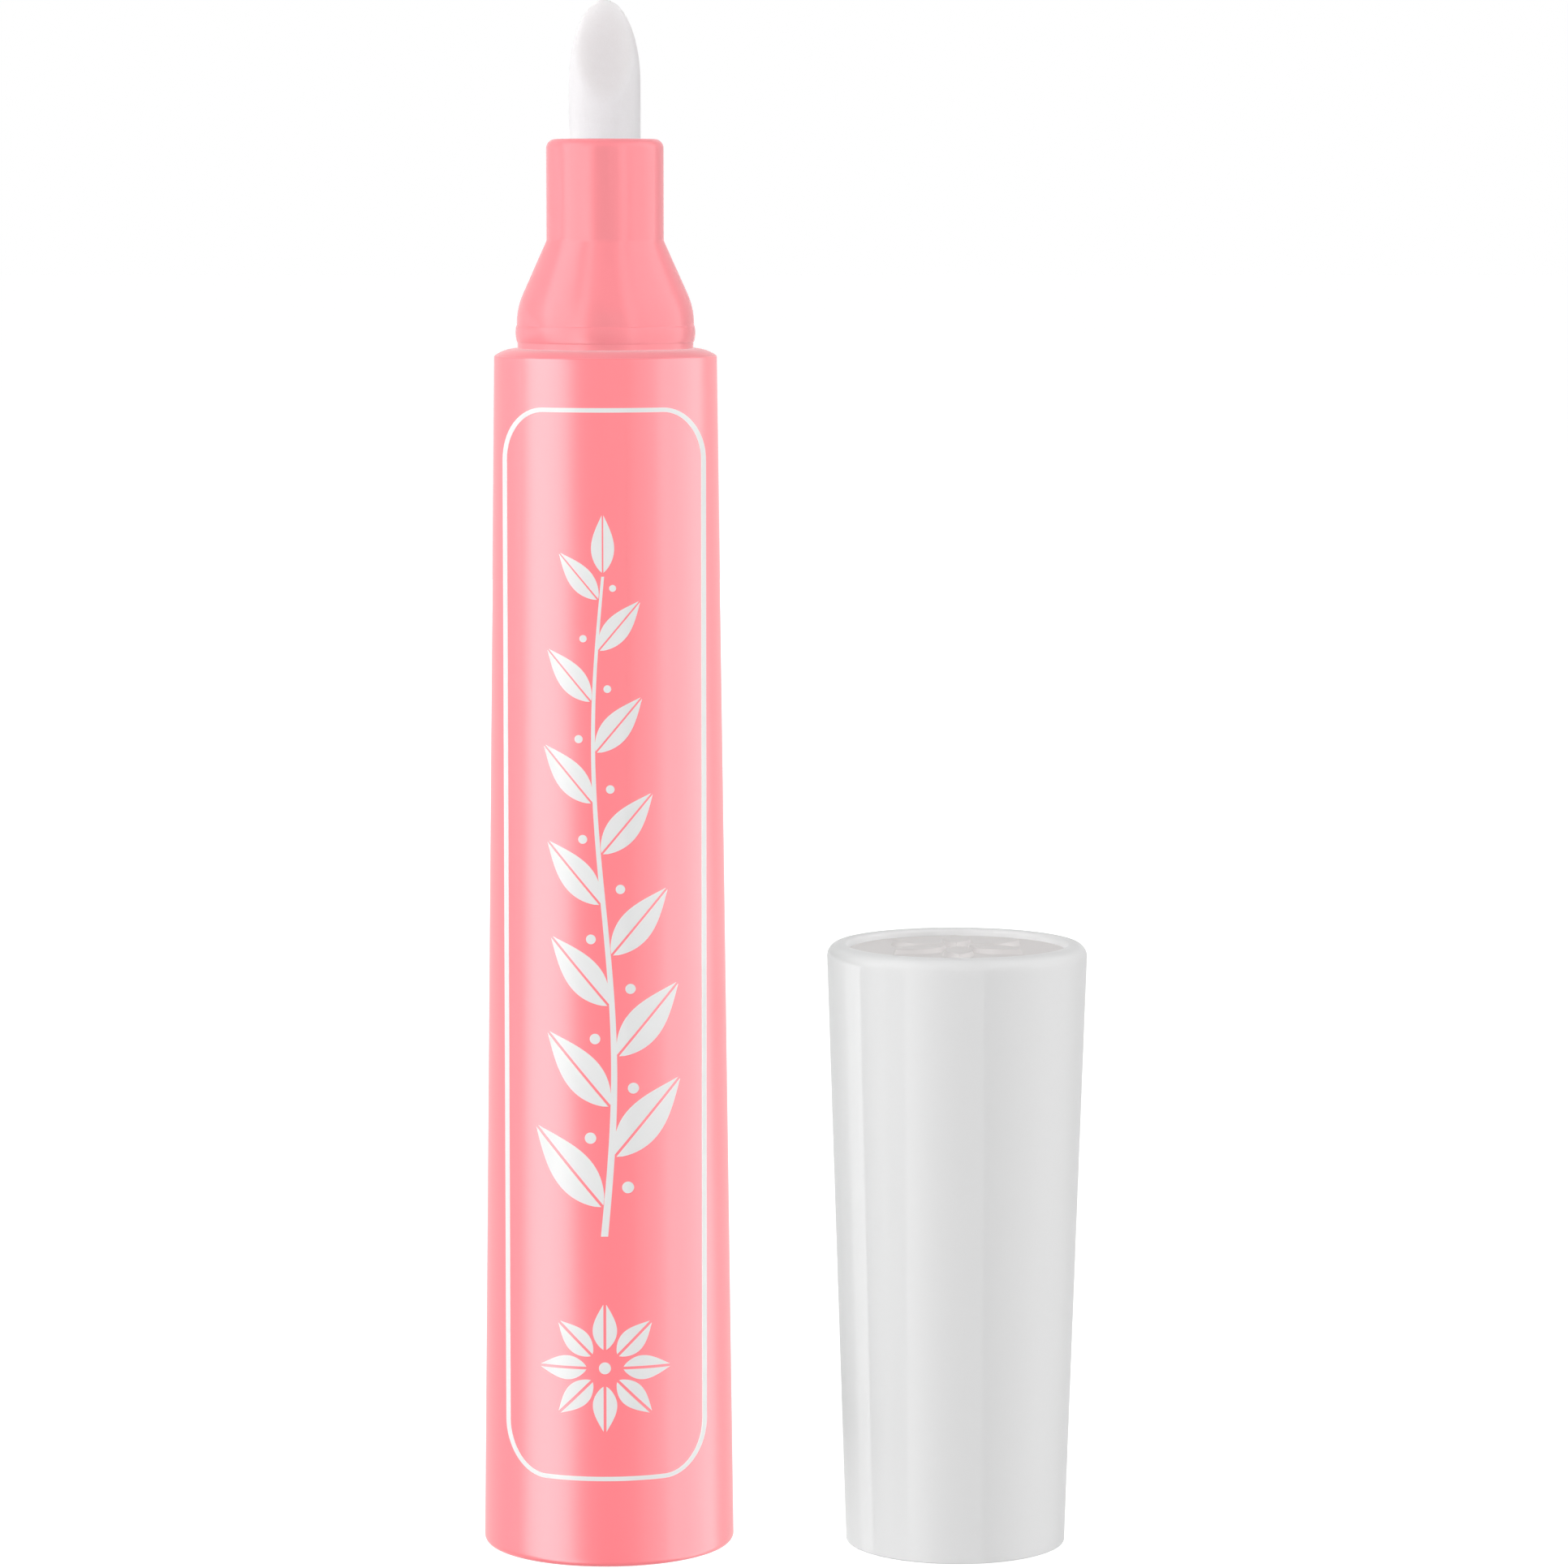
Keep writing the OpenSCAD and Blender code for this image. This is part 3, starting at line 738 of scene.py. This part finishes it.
flange_top = BARREL_LENGTH + FLANGE_RISE
cone_low = flange_top + CORNER_UP
cone_high = cone_low + CONE_RISE
cone_lean = math.atan2(NECK_R - NOSE_R, CONE_RISE)


def section_outside():
    """From the skirt's lower end up the flange, neck, cone and nose to the lip."""
    base_r = NECK_R - NECK_RELIEF
    dome_r = ((FLANGE_R - base_r) ** 2 + FLANGE_RISE ** 2) / (2 * FLANGE_RISE)
    dome_start = math.degrees(math.acos((FLANGE_R - base_r) / dome_r))
    bead_low = flange_top + BEAD_UP - BEAD_HALF
    swell = BEAD_OUT + NECK_RELIEF / 2
    shares = [(i + 1) / BEAD_STEPS for i in range(BEAD_STEPS)]
    bead = [(base_r + NECK_RELIEF * t + swell * math.sqrt(max(0.0, math.sin(math.pi * t))),
             bead_low + 2 * BEAD_HALF * t) for t in shares]
    shoulder_z = cone_low - CONE_BLEND * math.tan(cone_lean / 2)
    knee_z = cone_high + NOSE_BLEND * math.tan(cone_lean / 2)
    lean = math.degrees(cone_lean)
    shoulder = arc(NECK_R - CONE_BLEND, shoulder_z, CONE_BLEND, 0, lean, 16)
    knee = arc(NOSE_R + NOSE_BLEND, knee_z, NOSE_BLEND, 180 + lean, 180, 6)
    lip = arc(NOSE_R - LIP_ROUND, LIP_Z - LIP_ROUND, LIP_ROUND, 0, 90, 12)
    return [
        (SKIRT_R - SKIRT_LEAD, section_low.z),
        (SKIRT_R, section_low.z + SKIRT_LEAD),
        *snap(SKIRT_R, SKIRT_SNAP, upward=True),
        (SKIRT_R, BARREL_LENGTH),
        (FLANGE_R, BARREL_LENGTH),
        *arc(base_r, flange_top - dome_r, dome_r, dome_start, 90, 12),
        *straight((base_r, flange_top), (base_r, bead_low), 2, NECK_SUPPORT),
        (base_r, bead_low),
        *bead,
        *shoulder,
        *straight(shoulder[-1], knee[0], 6),
        *knee,
        *straight(knee[-1], lip[0], 6),
        *lip,
        *straight(lip[-1], (LIP_BORE_R + LIP_BREAK, LIP_Z), 3, CLOSE_SUPPORT),
        (LIP_BORE_R + LIP_BREAK, LIP_Z),
    ]


def section_inside():
    """From the lip's bore down through the nose and the hollow to the skirt."""
    hollow_r = NECK_R - NECK_RELIEF - SECTION_WALL
    return [
        (LIP_BORE_R, LIP_Z - LIP_BREAK),
        (LIP_BORE_R, LIP_Z - LIP_DEPTH),
        (NOSE_BORE_R, LIP_Z - LIP_DEPTH),
        (NOSE_BORE_R, cone_high),
        (hollow_r, cone_low - SECTION_WALL * math.tan(cone_lean / 2)),
        (hollow_r, core_high.z),
        (SKIRT_INNER_R, core_high.z),
        (SKIRT_INNER_R, section_low.z),
    ]


coral_satin = plastic("coral_satin", SECTION_COLOUR, SECTION_DEEP, roughness=0.24, spread=0.02,
                      grain_size=0.12 * MM, grain_depth=0.001 * MM, specular=0.15)
grip_root = NOSE_BORE_R + GRIP_THICK / 2
nose_grips = fins("nose_grips", GRIP_THICK, cone_high, LIP_Z - LIP_DEPTH, GRIP_INNER_R,
                  grip_root, grip_root, GRIP_COUNT, coral_satin)
section = fused(turned("front_moulding", section_outside() + section_inside(), coral_satin),
                nose_grips)
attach(section, "pen")
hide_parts("front_section")

# Nib
# A rod of bonded off-white felt, 5 mm thick, held by the ribs in the nose. Its tip is rounded
# and ground to a slanted writing face, whose edge is soft.
nib_low, nib_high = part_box("nib")
NIB_R = nib_high.x
NIB_TIP = 109.2 * MM
TIP_LENGTH = 5.8 * MM
FACE_LENGTH = 7.0 * MM
FACE_SOFT = 0.3 * MM
TAIL_CHAMFER = 0.5 * MM
NIB_SEGMENTS = 144
SHAFT_ROWS = 12
HEAD_ROWS = 72
HALVINGS = 36
NIB_COLOUR = (0.79, 0.77, 0.79, 1.0)
# The darker tone is also the colour of the painted shade on the slanted face and the tip.
NIB_SHADE = (0.72, 0.692, 0.698, 1.0)
face_slope = NIB_R / FACE_LENGTH
face_flat = 1 / math.hypot(1, face_slope)


def nib_section(z):
    """The round's radius, the face's place in Y, and the middle between them at height z."""
    ease = max(0.0, z - (NIB_TIP - TIP_LENGTH)) / TIP_LENGTH
    round_r = NIB_R * math.sqrt(max(0.0, 1 - ease * ease))
    face_y = -NIB_R + face_slope * (z - (NIB_TIP - FACE_LENGTH))
    middle_y = max(0.0, (round_r + face_flat * face_y) / (1 + face_flat))
    return round_r, face_y, middle_y


def past_nib(x, y, round_r, face_y):
    """Distance past the nib's surface, with the edge between round and face softened."""
    past_round = math.hypot(x, y) - round_r
    past_face = (face_y - y) * face_flat
    share = max(FACE_SOFT - abs(past_round - past_face), 0) / FACE_SOFT
    return max(past_round, past_face) + share * share * FACE_SOFT / 4


def halved(low, high, inside):
    """The place between low and high where a test stops being true."""
    for _ in range(HALVINGS):
        middle = (low + high) / 2
        low, high = (middle, high) if inside(middle) else (low, middle)
    return low


def nib_mesh():
    """Spots and faces of the nib, in rings that come closer together towards the tip."""
    def solid_at(z):
        round_r, face_y, middle_y = nib_section(z)
        return past_nib(0.0, middle_y, round_r, face_y) < 0

    shaft_low = nib_low.z + TAIL_CHAMFER
    shaft_high = NIB_TIP - FACE_LENGTH - FACE_SOFT
    top = halved(shaft_high, NIB_TIP, solid_at)
    rows = [nib_low.z]
    rows += [shaft_low + (shaft_high - shaft_low) * i / SHAFT_ROWS for i in range(SHAFT_ROWS)]
    rows += [shaft_high + (top - shaft_high) * math.sin(math.pi / 2 * i / HEAD_ROWS)
             for i in range(HEAD_ROWS)]
    rings = []
    for z in rows:
        round_r, face_y, middle_y = nib_section(z)
        trim = TAIL_CHAMFER if z == nib_low.z else 0.0
        rings.append([])
        for j in range(NIB_SEGMENTS):
            a = math.tau * j / NIB_SEGMENTS
            side = Vector((math.cos(a), math.sin(a)))
            reach = halved(0.0, 2 * NIB_R, lambda s: past_nib(
                side.x * s, middle_y + side.y * s, round_r, face_y) < 0) - trim
            rings[-1].append((side.x * reach, middle_y + side.y * reach, z))
    return stacked(rings)


# Through felt(), the nib's slanted face and rounded tip get painted shade.
nib_felt = felt("nib_felt", NIB_COLOUR, NIB_SHADE, fibre_size=0.07 * MM, depth=0.012 * MM,
                draw=2.5, roughness=0.95, soak=1.0)
nib = grown("felt_nib", *nib_mesh(), finish, material=nib_felt)
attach(nib, "pen")
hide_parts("nib")

# Cap shell
# A tapered tube in pale grey plastic with a fine satin texture, pulled off its core at the
# wide end, where it has a rounded rim around the recess of the end disc.
shell_low, shell_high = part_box("cap_shell")
CAP_X = (shell_low.x + shell_high.x) / 2
CAP_HEIGHT = shell_high.z
CAP_TOP_R = (shell_high.x - shell_low.x) / 2
CAP_MOUTH_R = 7.8 * MM
CAP_WALL = 1.45 * MM
RIM_ROUND = 0.9 * MM
RIM_INNER_ROUND = 0.3 * MM
CAP_EDGE_ROUND = 0.12 * MM
CAP_BORE_R = 6.35 * MM
CAP_BORE_TOP = 7.0 * MM
MOUTH_BREAK_W = 0.9 * MM
MOUTH_BREAK_H = 0.35 * MM
CAP_SNAP_Z = 0.5 * MM
CAP_SNAP_R = 0.15 * MM
CAP_SNAP_OUT = 0.12 * MM
SEAT_LEDGE = 0.3 * MM
HOLD_Z = 8.3 * MM
HOLD_R = 0.3 * MM
HOLD_OUT = 0.13 * MM
DISC_SEAT_Z = 39.5 * MM
DISC_SNAP_Z = 40.3 * MM
DISC_LEDGE = 0.35 * MM
CAP_COLOUR = (0.72, 0.72, 0.722, 1.0)
CAP_SHADE = (0.7, 0.7, 0.702, 1.0)
disc_bore_r = CAP_TOP_R - CAP_WALL


def cavity_r(z):
    """Radius of the cap's cavity at a height."""
    low_r, high_r = CAP_BORE_R + SEAT_LEDGE, disc_bore_r - DISC_LEDGE
    return low_r + (high_r - low_r) * (z - CAP_BORE_TOP) / (DISC_SEAT_Z - CAP_BORE_TOP)


def inner_ring(wall_r, z, radius, out):
    """Profile points of a ring that stands into a bore, passed downward."""
    half = math.degrees(math.acos((radius - out) / radius))
    return arc(wall_r + radius - out, z, radius, 180 - half, 180 + half)


def shell_profile():
    """Up the outside from the mouth, over the rim, and down the inside."""
    mouth = arc(CAP_MOUTH_R - CAP_EDGE_ROUND, CAP_EDGE_ROUND, CAP_EDGE_ROUND, -90, 0, 6)
    rim = arc(CAP_TOP_R - RIM_ROUND, CAP_HEIGHT - RIM_ROUND, RIM_ROUND, 0, 90, 24)
    rim_inside = arc(disc_bore_r + RIM_INNER_ROUND, CAP_HEIGHT - RIM_INNER_ROUND,
                     RIM_INNER_ROUND, 90, 180, 6)
    return [
        (CAP_BORE_R + MOUTH_BREAK_W, 0.0),
        *mouth,
        *straight(mouth[-1], rim[0], 12),
        *rim,
        *rim_inside[1:],
        *snap(disc_bore_r, DISC_SNAP_Z, upward=False),
        (disc_bore_r, DISC_SEAT_Z),
        (cavity_r(DISC_SEAT_Z), DISC_SEAT_Z),
        *inner_ring(cavity_r(HOLD_Z), HOLD_Z, HOLD_R, HOLD_OUT),
        (cavity_r(CAP_BORE_TOP), CAP_BORE_TOP),
        (CAP_BORE_R, CAP_BORE_TOP),
        *inner_ring(CAP_BORE_R, CAP_SNAP_Z, CAP_SNAP_R, CAP_SNAP_OUT),
        (CAP_BORE_R, MOUTH_BREAK_H),
    ]


cap_satin = plastic("cap_satin", CAP_COLOUR, CAP_SHADE, roughness=0.5, spread=0.03,
                    grain_size=0.1 * MM, grain_depth=0.003 * MM, specular=0.15,
                    flow_size=6 * MM)
cap_shell = turned("cap_tube", shell_profile(), cap_satin, axis_x=CAP_X)
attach(cap_shell, "cap")
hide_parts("cap_shell")

# Inner cap
# Off-white thimble pressed into the cap from its mouth. Its socket and bead seal around the
# pen's nose, the chamber above takes the nib, and six fins centre it in the shell.
inner_low, inner_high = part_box("inner_cap")
INNER_FLANGE_R = 6.63 * MM
INNER_FLANGE = 1.0 * MM
INNER_WALL = 0.8 * MM
SOCKET_R = 4.25 * MM
SOCKET_TOP = 15.354 * MM
SOCKET_LEAD_W = 0.6 * MM
SOCKET_LEAD_H = 0.8 * MM
SEAL_UP = 2.5 * MM
SEAL_R = 0.4 * MM
SEAL_OUT = 0.2 * MM
CHAMBER_R = 3.4 * MM
ROOF = 1.0 * MM
ROOF_ROUND = 0.8 * MM
FIN_COUNT = 6
FIN_THICK = 0.8 * MM
FIN_UP = 2.4 * MM
FIN_LENGTH = 6.0 * MM
FIN_GAP = 0.02 * MM
INNER_COLOUR = (0.8, 0.8, 0.78, 1.0)
INNER_SHADE = (0.76, 0.76, 0.74, 1.0)


def inner_profile():
    """From the chamber's roof down the inside, round the flange and up the outside."""
    low, top = inner_low.z, inner_high.z
    body_r, chamber_r = SOCKET_R + INNER_WALL, CHAMBER_R + INNER_WALL
    return [
        (0.0, top - ROOF),
        (CHAMBER_R, top - ROOF),
        (CHAMBER_R, SOCKET_TOP),
        (SOCKET_R, SOCKET_TOP),
        *inner_ring(SOCKET_R, low + SEAL_UP, SEAL_R, SEAL_OUT),
        (SOCKET_R, low + SOCKET_LEAD_H),
        (SOCKET_R + SOCKET_LEAD_W, low),
        (INNER_FLANGE_R, low),
        (INNER_FLANGE_R, low + INNER_FLANGE),
        (body_r, low + INNER_FLANGE),
        (body_r, SOCKET_TOP + INNER_WALL),
        (chamber_r, SOCKET_TOP + INNER_WALL),
        *arc(chamber_r - ROOF_ROUND, top - ROOF_ROUND, ROOF_ROUND, 0, 90, 12),
        (0.0, top),
    ]


inner_plain = plastic("inner_cap_plain", INNER_COLOUR, INNER_SHADE, roughness=0.45, spread=0.04,
                      grain_size=0.25 * MM, grain_depth=0.002 * MM, specular=0.35)
fin_low = inner_low.z + FIN_UP
fin_high = fin_low + FIN_LENGTH
centring_fins = fins("centring_fins", FIN_THICK, fin_low, fin_high,
                     SOCKET_R + INNER_WALL / 2, cavity_r(fin_low) - FIN_GAP,
                     cavity_r(fin_high) - FIN_GAP, FIN_COUNT, inner_plain, CAP_X)
inner_cap = fused(turned("sealing_thimble", inner_profile(), inner_plain, axis_x=CAP_X),
                  centring_fins)
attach(inner_cap, "cap")
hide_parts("inner_cap")

# Cap end disc
# Warm grey disc snapped into the cap's wide end, a little below the rim. A plain rosette with
# soft edges is raised on it by the mould.
disc_low, disc_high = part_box("cap_end_disc")
EMBLEM_RISE = 0.4 * MM
DISC_TOP = disc_high.z - EMBLEM_RISE
DISC_R = 7.73 * MM
DISC_THICK = 1.2 * MM
DISC_SKIRT_WALL = 0.9 * MM
DISC_EDGE_ROUND = 0.15 * MM
EMBLEM_PETALS = 6
EMBLEM_INNER_R = 0.9 * MM
EMBLEM_OUTER_R = 5.2 * MM
EMBLEM_HALF = 1.05 * MM
EMBLEM_SOFT = 0.2 * MM
EMBLEM_ROWS = 100
DISC_SEGMENTS = 432
DISC_COLOUR = (0.61, 0.586, 0.581, 1.0)
DISC_SHADE = (0.588, 0.565, 0.56, 1.0)


def disc_profile():
    """The top, in close rings under the rosette, the rounded edge, and the skirt below."""
    flat_r = DISC_R - DISC_EDGE_ROUND
    under = DISC_TOP - DISC_THICK
    inner, outer = EMBLEM_INNER_R - EMBLEM_SOFT, EMBLEM_OUTER_R + EMBLEM_SOFT
    return [
        (0.0, DISC_TOP),
        *((inner + (outer - inner) * i / EMBLEM_ROWS, DISC_TOP) for i in range(EMBLEM_ROWS)),
        *straight((outer, DISC_TOP), (flat_r, DISC_TOP), 4),
        *arc(flat_r, DISC_TOP - DISC_EDGE_ROUND, DISC_EDGE_ROUND, 90, 0, 6),
        *snap(DISC_R, DISC_SNAP_Z, upward=False),
        (DISC_R, disc_low.z),
        (DISC_R - DISC_SKIRT_WALL, disc_low.z),
        (DISC_R - DISC_SKIRT_WALL, under),
        (0.0, under),
    ]


def past_petal(x, y):
    """Distance from a place on the disc to the nearest petal's edge, negative inside."""
    sector = math.tau / EMBLEM_PETALS
    turn = math.atan2(y, x) - math.pi / 2
    turn -= sector * round(turn / sector)
    reach = math.hypot(x, y)
    half_length = (EMBLEM_OUTER_R - EMBLEM_INNER_R) / 2
    side_r = (half_length ** 2 + EMBLEM_HALF ** 2) / (2 * EMBLEM_HALF)
    along = reach * math.cos(turn) - EMBLEM_INNER_R - half_length
    across = abs(reach * math.sin(turn)) + side_r - EMBLEM_HALF
    return math.hypot(along, across) - side_r


def raise_rosette(piece):
    """Lifts the disc's top inside the petals, with a soft slope on both sides of the edge."""
    for vertex in piece.data.vertices:
        if abs(vertex.co.z - DISC_TOP) < MERGE_GAP:
            share = 0.5 - past_petal(vertex.co.x - CAP_X, vertex.co.y) / EMBLEM_SOFT
            share = min(max(share, 0.0), 1.0)
            vertex.co.z += EMBLEM_RISE * share * share * (3 - 2 * share)


disc_satin = plastic("disc_satin", DISC_COLOUR, DISC_SHADE, roughness=0.5, spread=0.03,
                     grain_size=0.12 * MM, grain_depth=0.002 * MM, specular=0.3)
disc = turned("cap_disc", disc_profile(), disc_satin, axis_x=CAP_X, segments=DISC_SEGMENTS)
raise_rosette(disc)
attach(disc, "cap")
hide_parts("cap_end_disc")

# Studio
# A wide floor that shows white, light from overhead, long lamps that show only in gloss (two
# of them for the front section alone), square lamps that light only what is matt, all but
# one of them without a shadow, and the camera at the photograph's angle.
VIEW_PITCH = 6.0
VIEW_DISTANCE = 0.4
VIEW_WIDTH = 0.1107
VIEW_TARGET = Vector((0.0125, 0.0, 0.0543))
SENSOR_MM = 36.0
FLOOR_HALF = 6.0
FLOOR_COLOUR = (0.55, 0.55, 0.55, 1.0)
FLOOR_GLOW = 0.7
WORLD_TOP = 1.1
LAMP_AWAY = 1.0
FILL_SIZE = 0.8
GLOSS_HEIGHT = 2.6


def showing(tree):
    """1 for the rays that show the background, in sight, in gloss and through film."""
    ray = node(tree, "ShaderNodeLightPath").outputs
    reflected = maths(tree, "MAXIMUM", ray["Is Glossy Ray"], ray["Is Transmission Ray"])
    return maths(tree, "MAXIMUM", ray["Is Camera Ray"], reflected)


def studio_floor():
    """A wide matt floor that shows white, so bright that its shadows are hardly seen."""
    corners = [(x * FLOOR_HALF, y * FLOOR_HALF, 0) for x, y in ((-1, -1), (1, -1), (1, 1), (-1, 1))]
    mesh = bpy.data.meshes.new("floor")
    mesh.from_pydata(corners, [], [(0, 1, 2, 3)])
    floor = added("floor", mesh)
    material, tree = new_material("floor_white")
    matte = result(tree, "ShaderNodeBsdfDiffuse", {"Color": FLOOR_COLOUR})
    glow = result(tree, "ShaderNodeEmission",
                  {"Strength": maths(tree, "MULTIPLY", showing(tree), FLOOR_GLOW)})
    both = result(tree, "ShaderNodeAddShader", {0: matte, 1: glow})
    node(tree, "ShaderNodeOutputMaterial", {"Surface": both})
    mesh.materials.append(material)
    floor.visible_glossy = False


def studio_world():
    """White where it shows; the light that it gives comes from overhead."""
    world = bpy.data.worlds.new("studio")
    bpy.context.scene.world = world
    world.use_nodes = True
    tree = world.node_tree
    tree.nodes.clear()
    height = parts_of(tree, node(tree, "ShaderNodeTexCoord").outputs["Generated"])["Z"]
    level = maths(tree, "MULTIPLY", maths(tree, "MULTIPLY", height, height), WORLD_TOP)
    strength = node(tree, "ShaderNodeMix", {"Factor": showing(tree), "A": level, "B": 1.0},
                    data_type="FLOAT").outputs["Result"]
    shade = result(tree, "ShaderNodeBackground",
                   {"Color": (1.0, 1.0, 1.0, 1.0), "Strength": strength})
    node(tree, "ShaderNodeOutputWorld", {"Surface": shade})


def aimed(name, data, azimuth, elevation, distance, roll=0.0):
    """A lamp or camera that faces the object; azimuth 0 is the camera's side, + is right. With
    roll its lower end leans to the right."""
    thing = added(name, data)
    a, e = math.radians(azimuth), math.radians(elevation)
    away = Vector((math.sin(a) * math.cos(e), -math.cos(a) * math.cos(e), math.sin(e)))
    thing.location = VIEW_TARGET + away * distance
    thing.rotation_mode = "QUATERNION"
    lean = Quaternion((0.0, 0.0, 1.0), math.radians(roll))
    thing.rotation_quaternion = away.to_track_quat("Z", "Y") @ lean
    return thing


def softbox(name, azimuth, radiance, gloss_width=0.0, elevation=0.0, shadow=False, roll=0.0,
            only=None):
    """A tall lamp that shows only in gloss or, without a gloss width, a square one that lights
    only what is matt. A collection in only limits it to the pieces in there."""
    gloss = gloss_width > 0
    width, height = (gloss_width, GLOSS_HEIGHT) if gloss else (FILL_SIZE, FILL_SIZE)
    lamp = bpy.data.lights.new(name, "AREA")
    lamp.shape = "RECTANGLE"
    lamp.size = width
    lamp.size_y = height
    lamp.energy = radiance * math.pi * width * height
    lamp.use_shadow = shadow
    box = aimed(name, lamp, azimuth, elevation, LAMP_AWAY, roll)
    box.visible_camera = False
    box.visible_diffuse = not gloss
    box.visible_glossy = gloss
    box.light_linking.receiver_collection = only


def studio_camera():
    """Looks slightly down at the pen and cap, framed as in the photograph."""
    lens = bpy.data.cameras.new("camera")
    lens.sensor_width = SENSOR_MM
    lens.lens = SENSOR_MM * VIEW_DISTANCE / VIEW_WIDTH
    bpy.context.scene.camera = aimed("camera", lens, 0.0, VIEW_PITCH, VIEW_DISTANCE)


satin_pieces = bpy.data.collections.new("satin_pieces")
satin_pieces.objects.link(section)
studio_floor()
studio_world()
studio_camera()
softbox("left_band", -60.0, 6.3, 0.86, roll=20.0)
softbox("right_band", 88.0, 4.2, 1.2)
softbox("right_soft", 46.0, 1.9, 0.7)
softbox("left_stripe", -31.0, 7.0, 0.28, only=satin_pieces)
softbox("right_stripe", 38.0, 4.5, 0.26, only=satin_pieces)
softbox("left_rim", -110.0, 0.2, 1.2)
softbox("right_rim", 118.0, 0.3, 1.2)
softbox("key", -30.0, 0.6, elevation=40.0, shadow=True)
softbox("front_fill", 6.0, 4.0)
softbox("left_fill", -95.0, 4.9)
softbox("right_fill", 95.0, 2.0)
softbox("back_fill", 180.0, 3.0)
# The pen and its cap are lit as if each stood alone, so neither shows in the other's gloss and
# the coral pieces don't tint the cap and the nib.
for piece in (barrel, barrel_print, plug, core, film, section, nib, cap_shell, inner_cap, disc):
    piece.visible_glossy = False
for piece in (barrel, barrel_print, plug, section):
    piece.visible_diffuse = False
bpy.context.scene.view_settings.view_transform = "Standard"
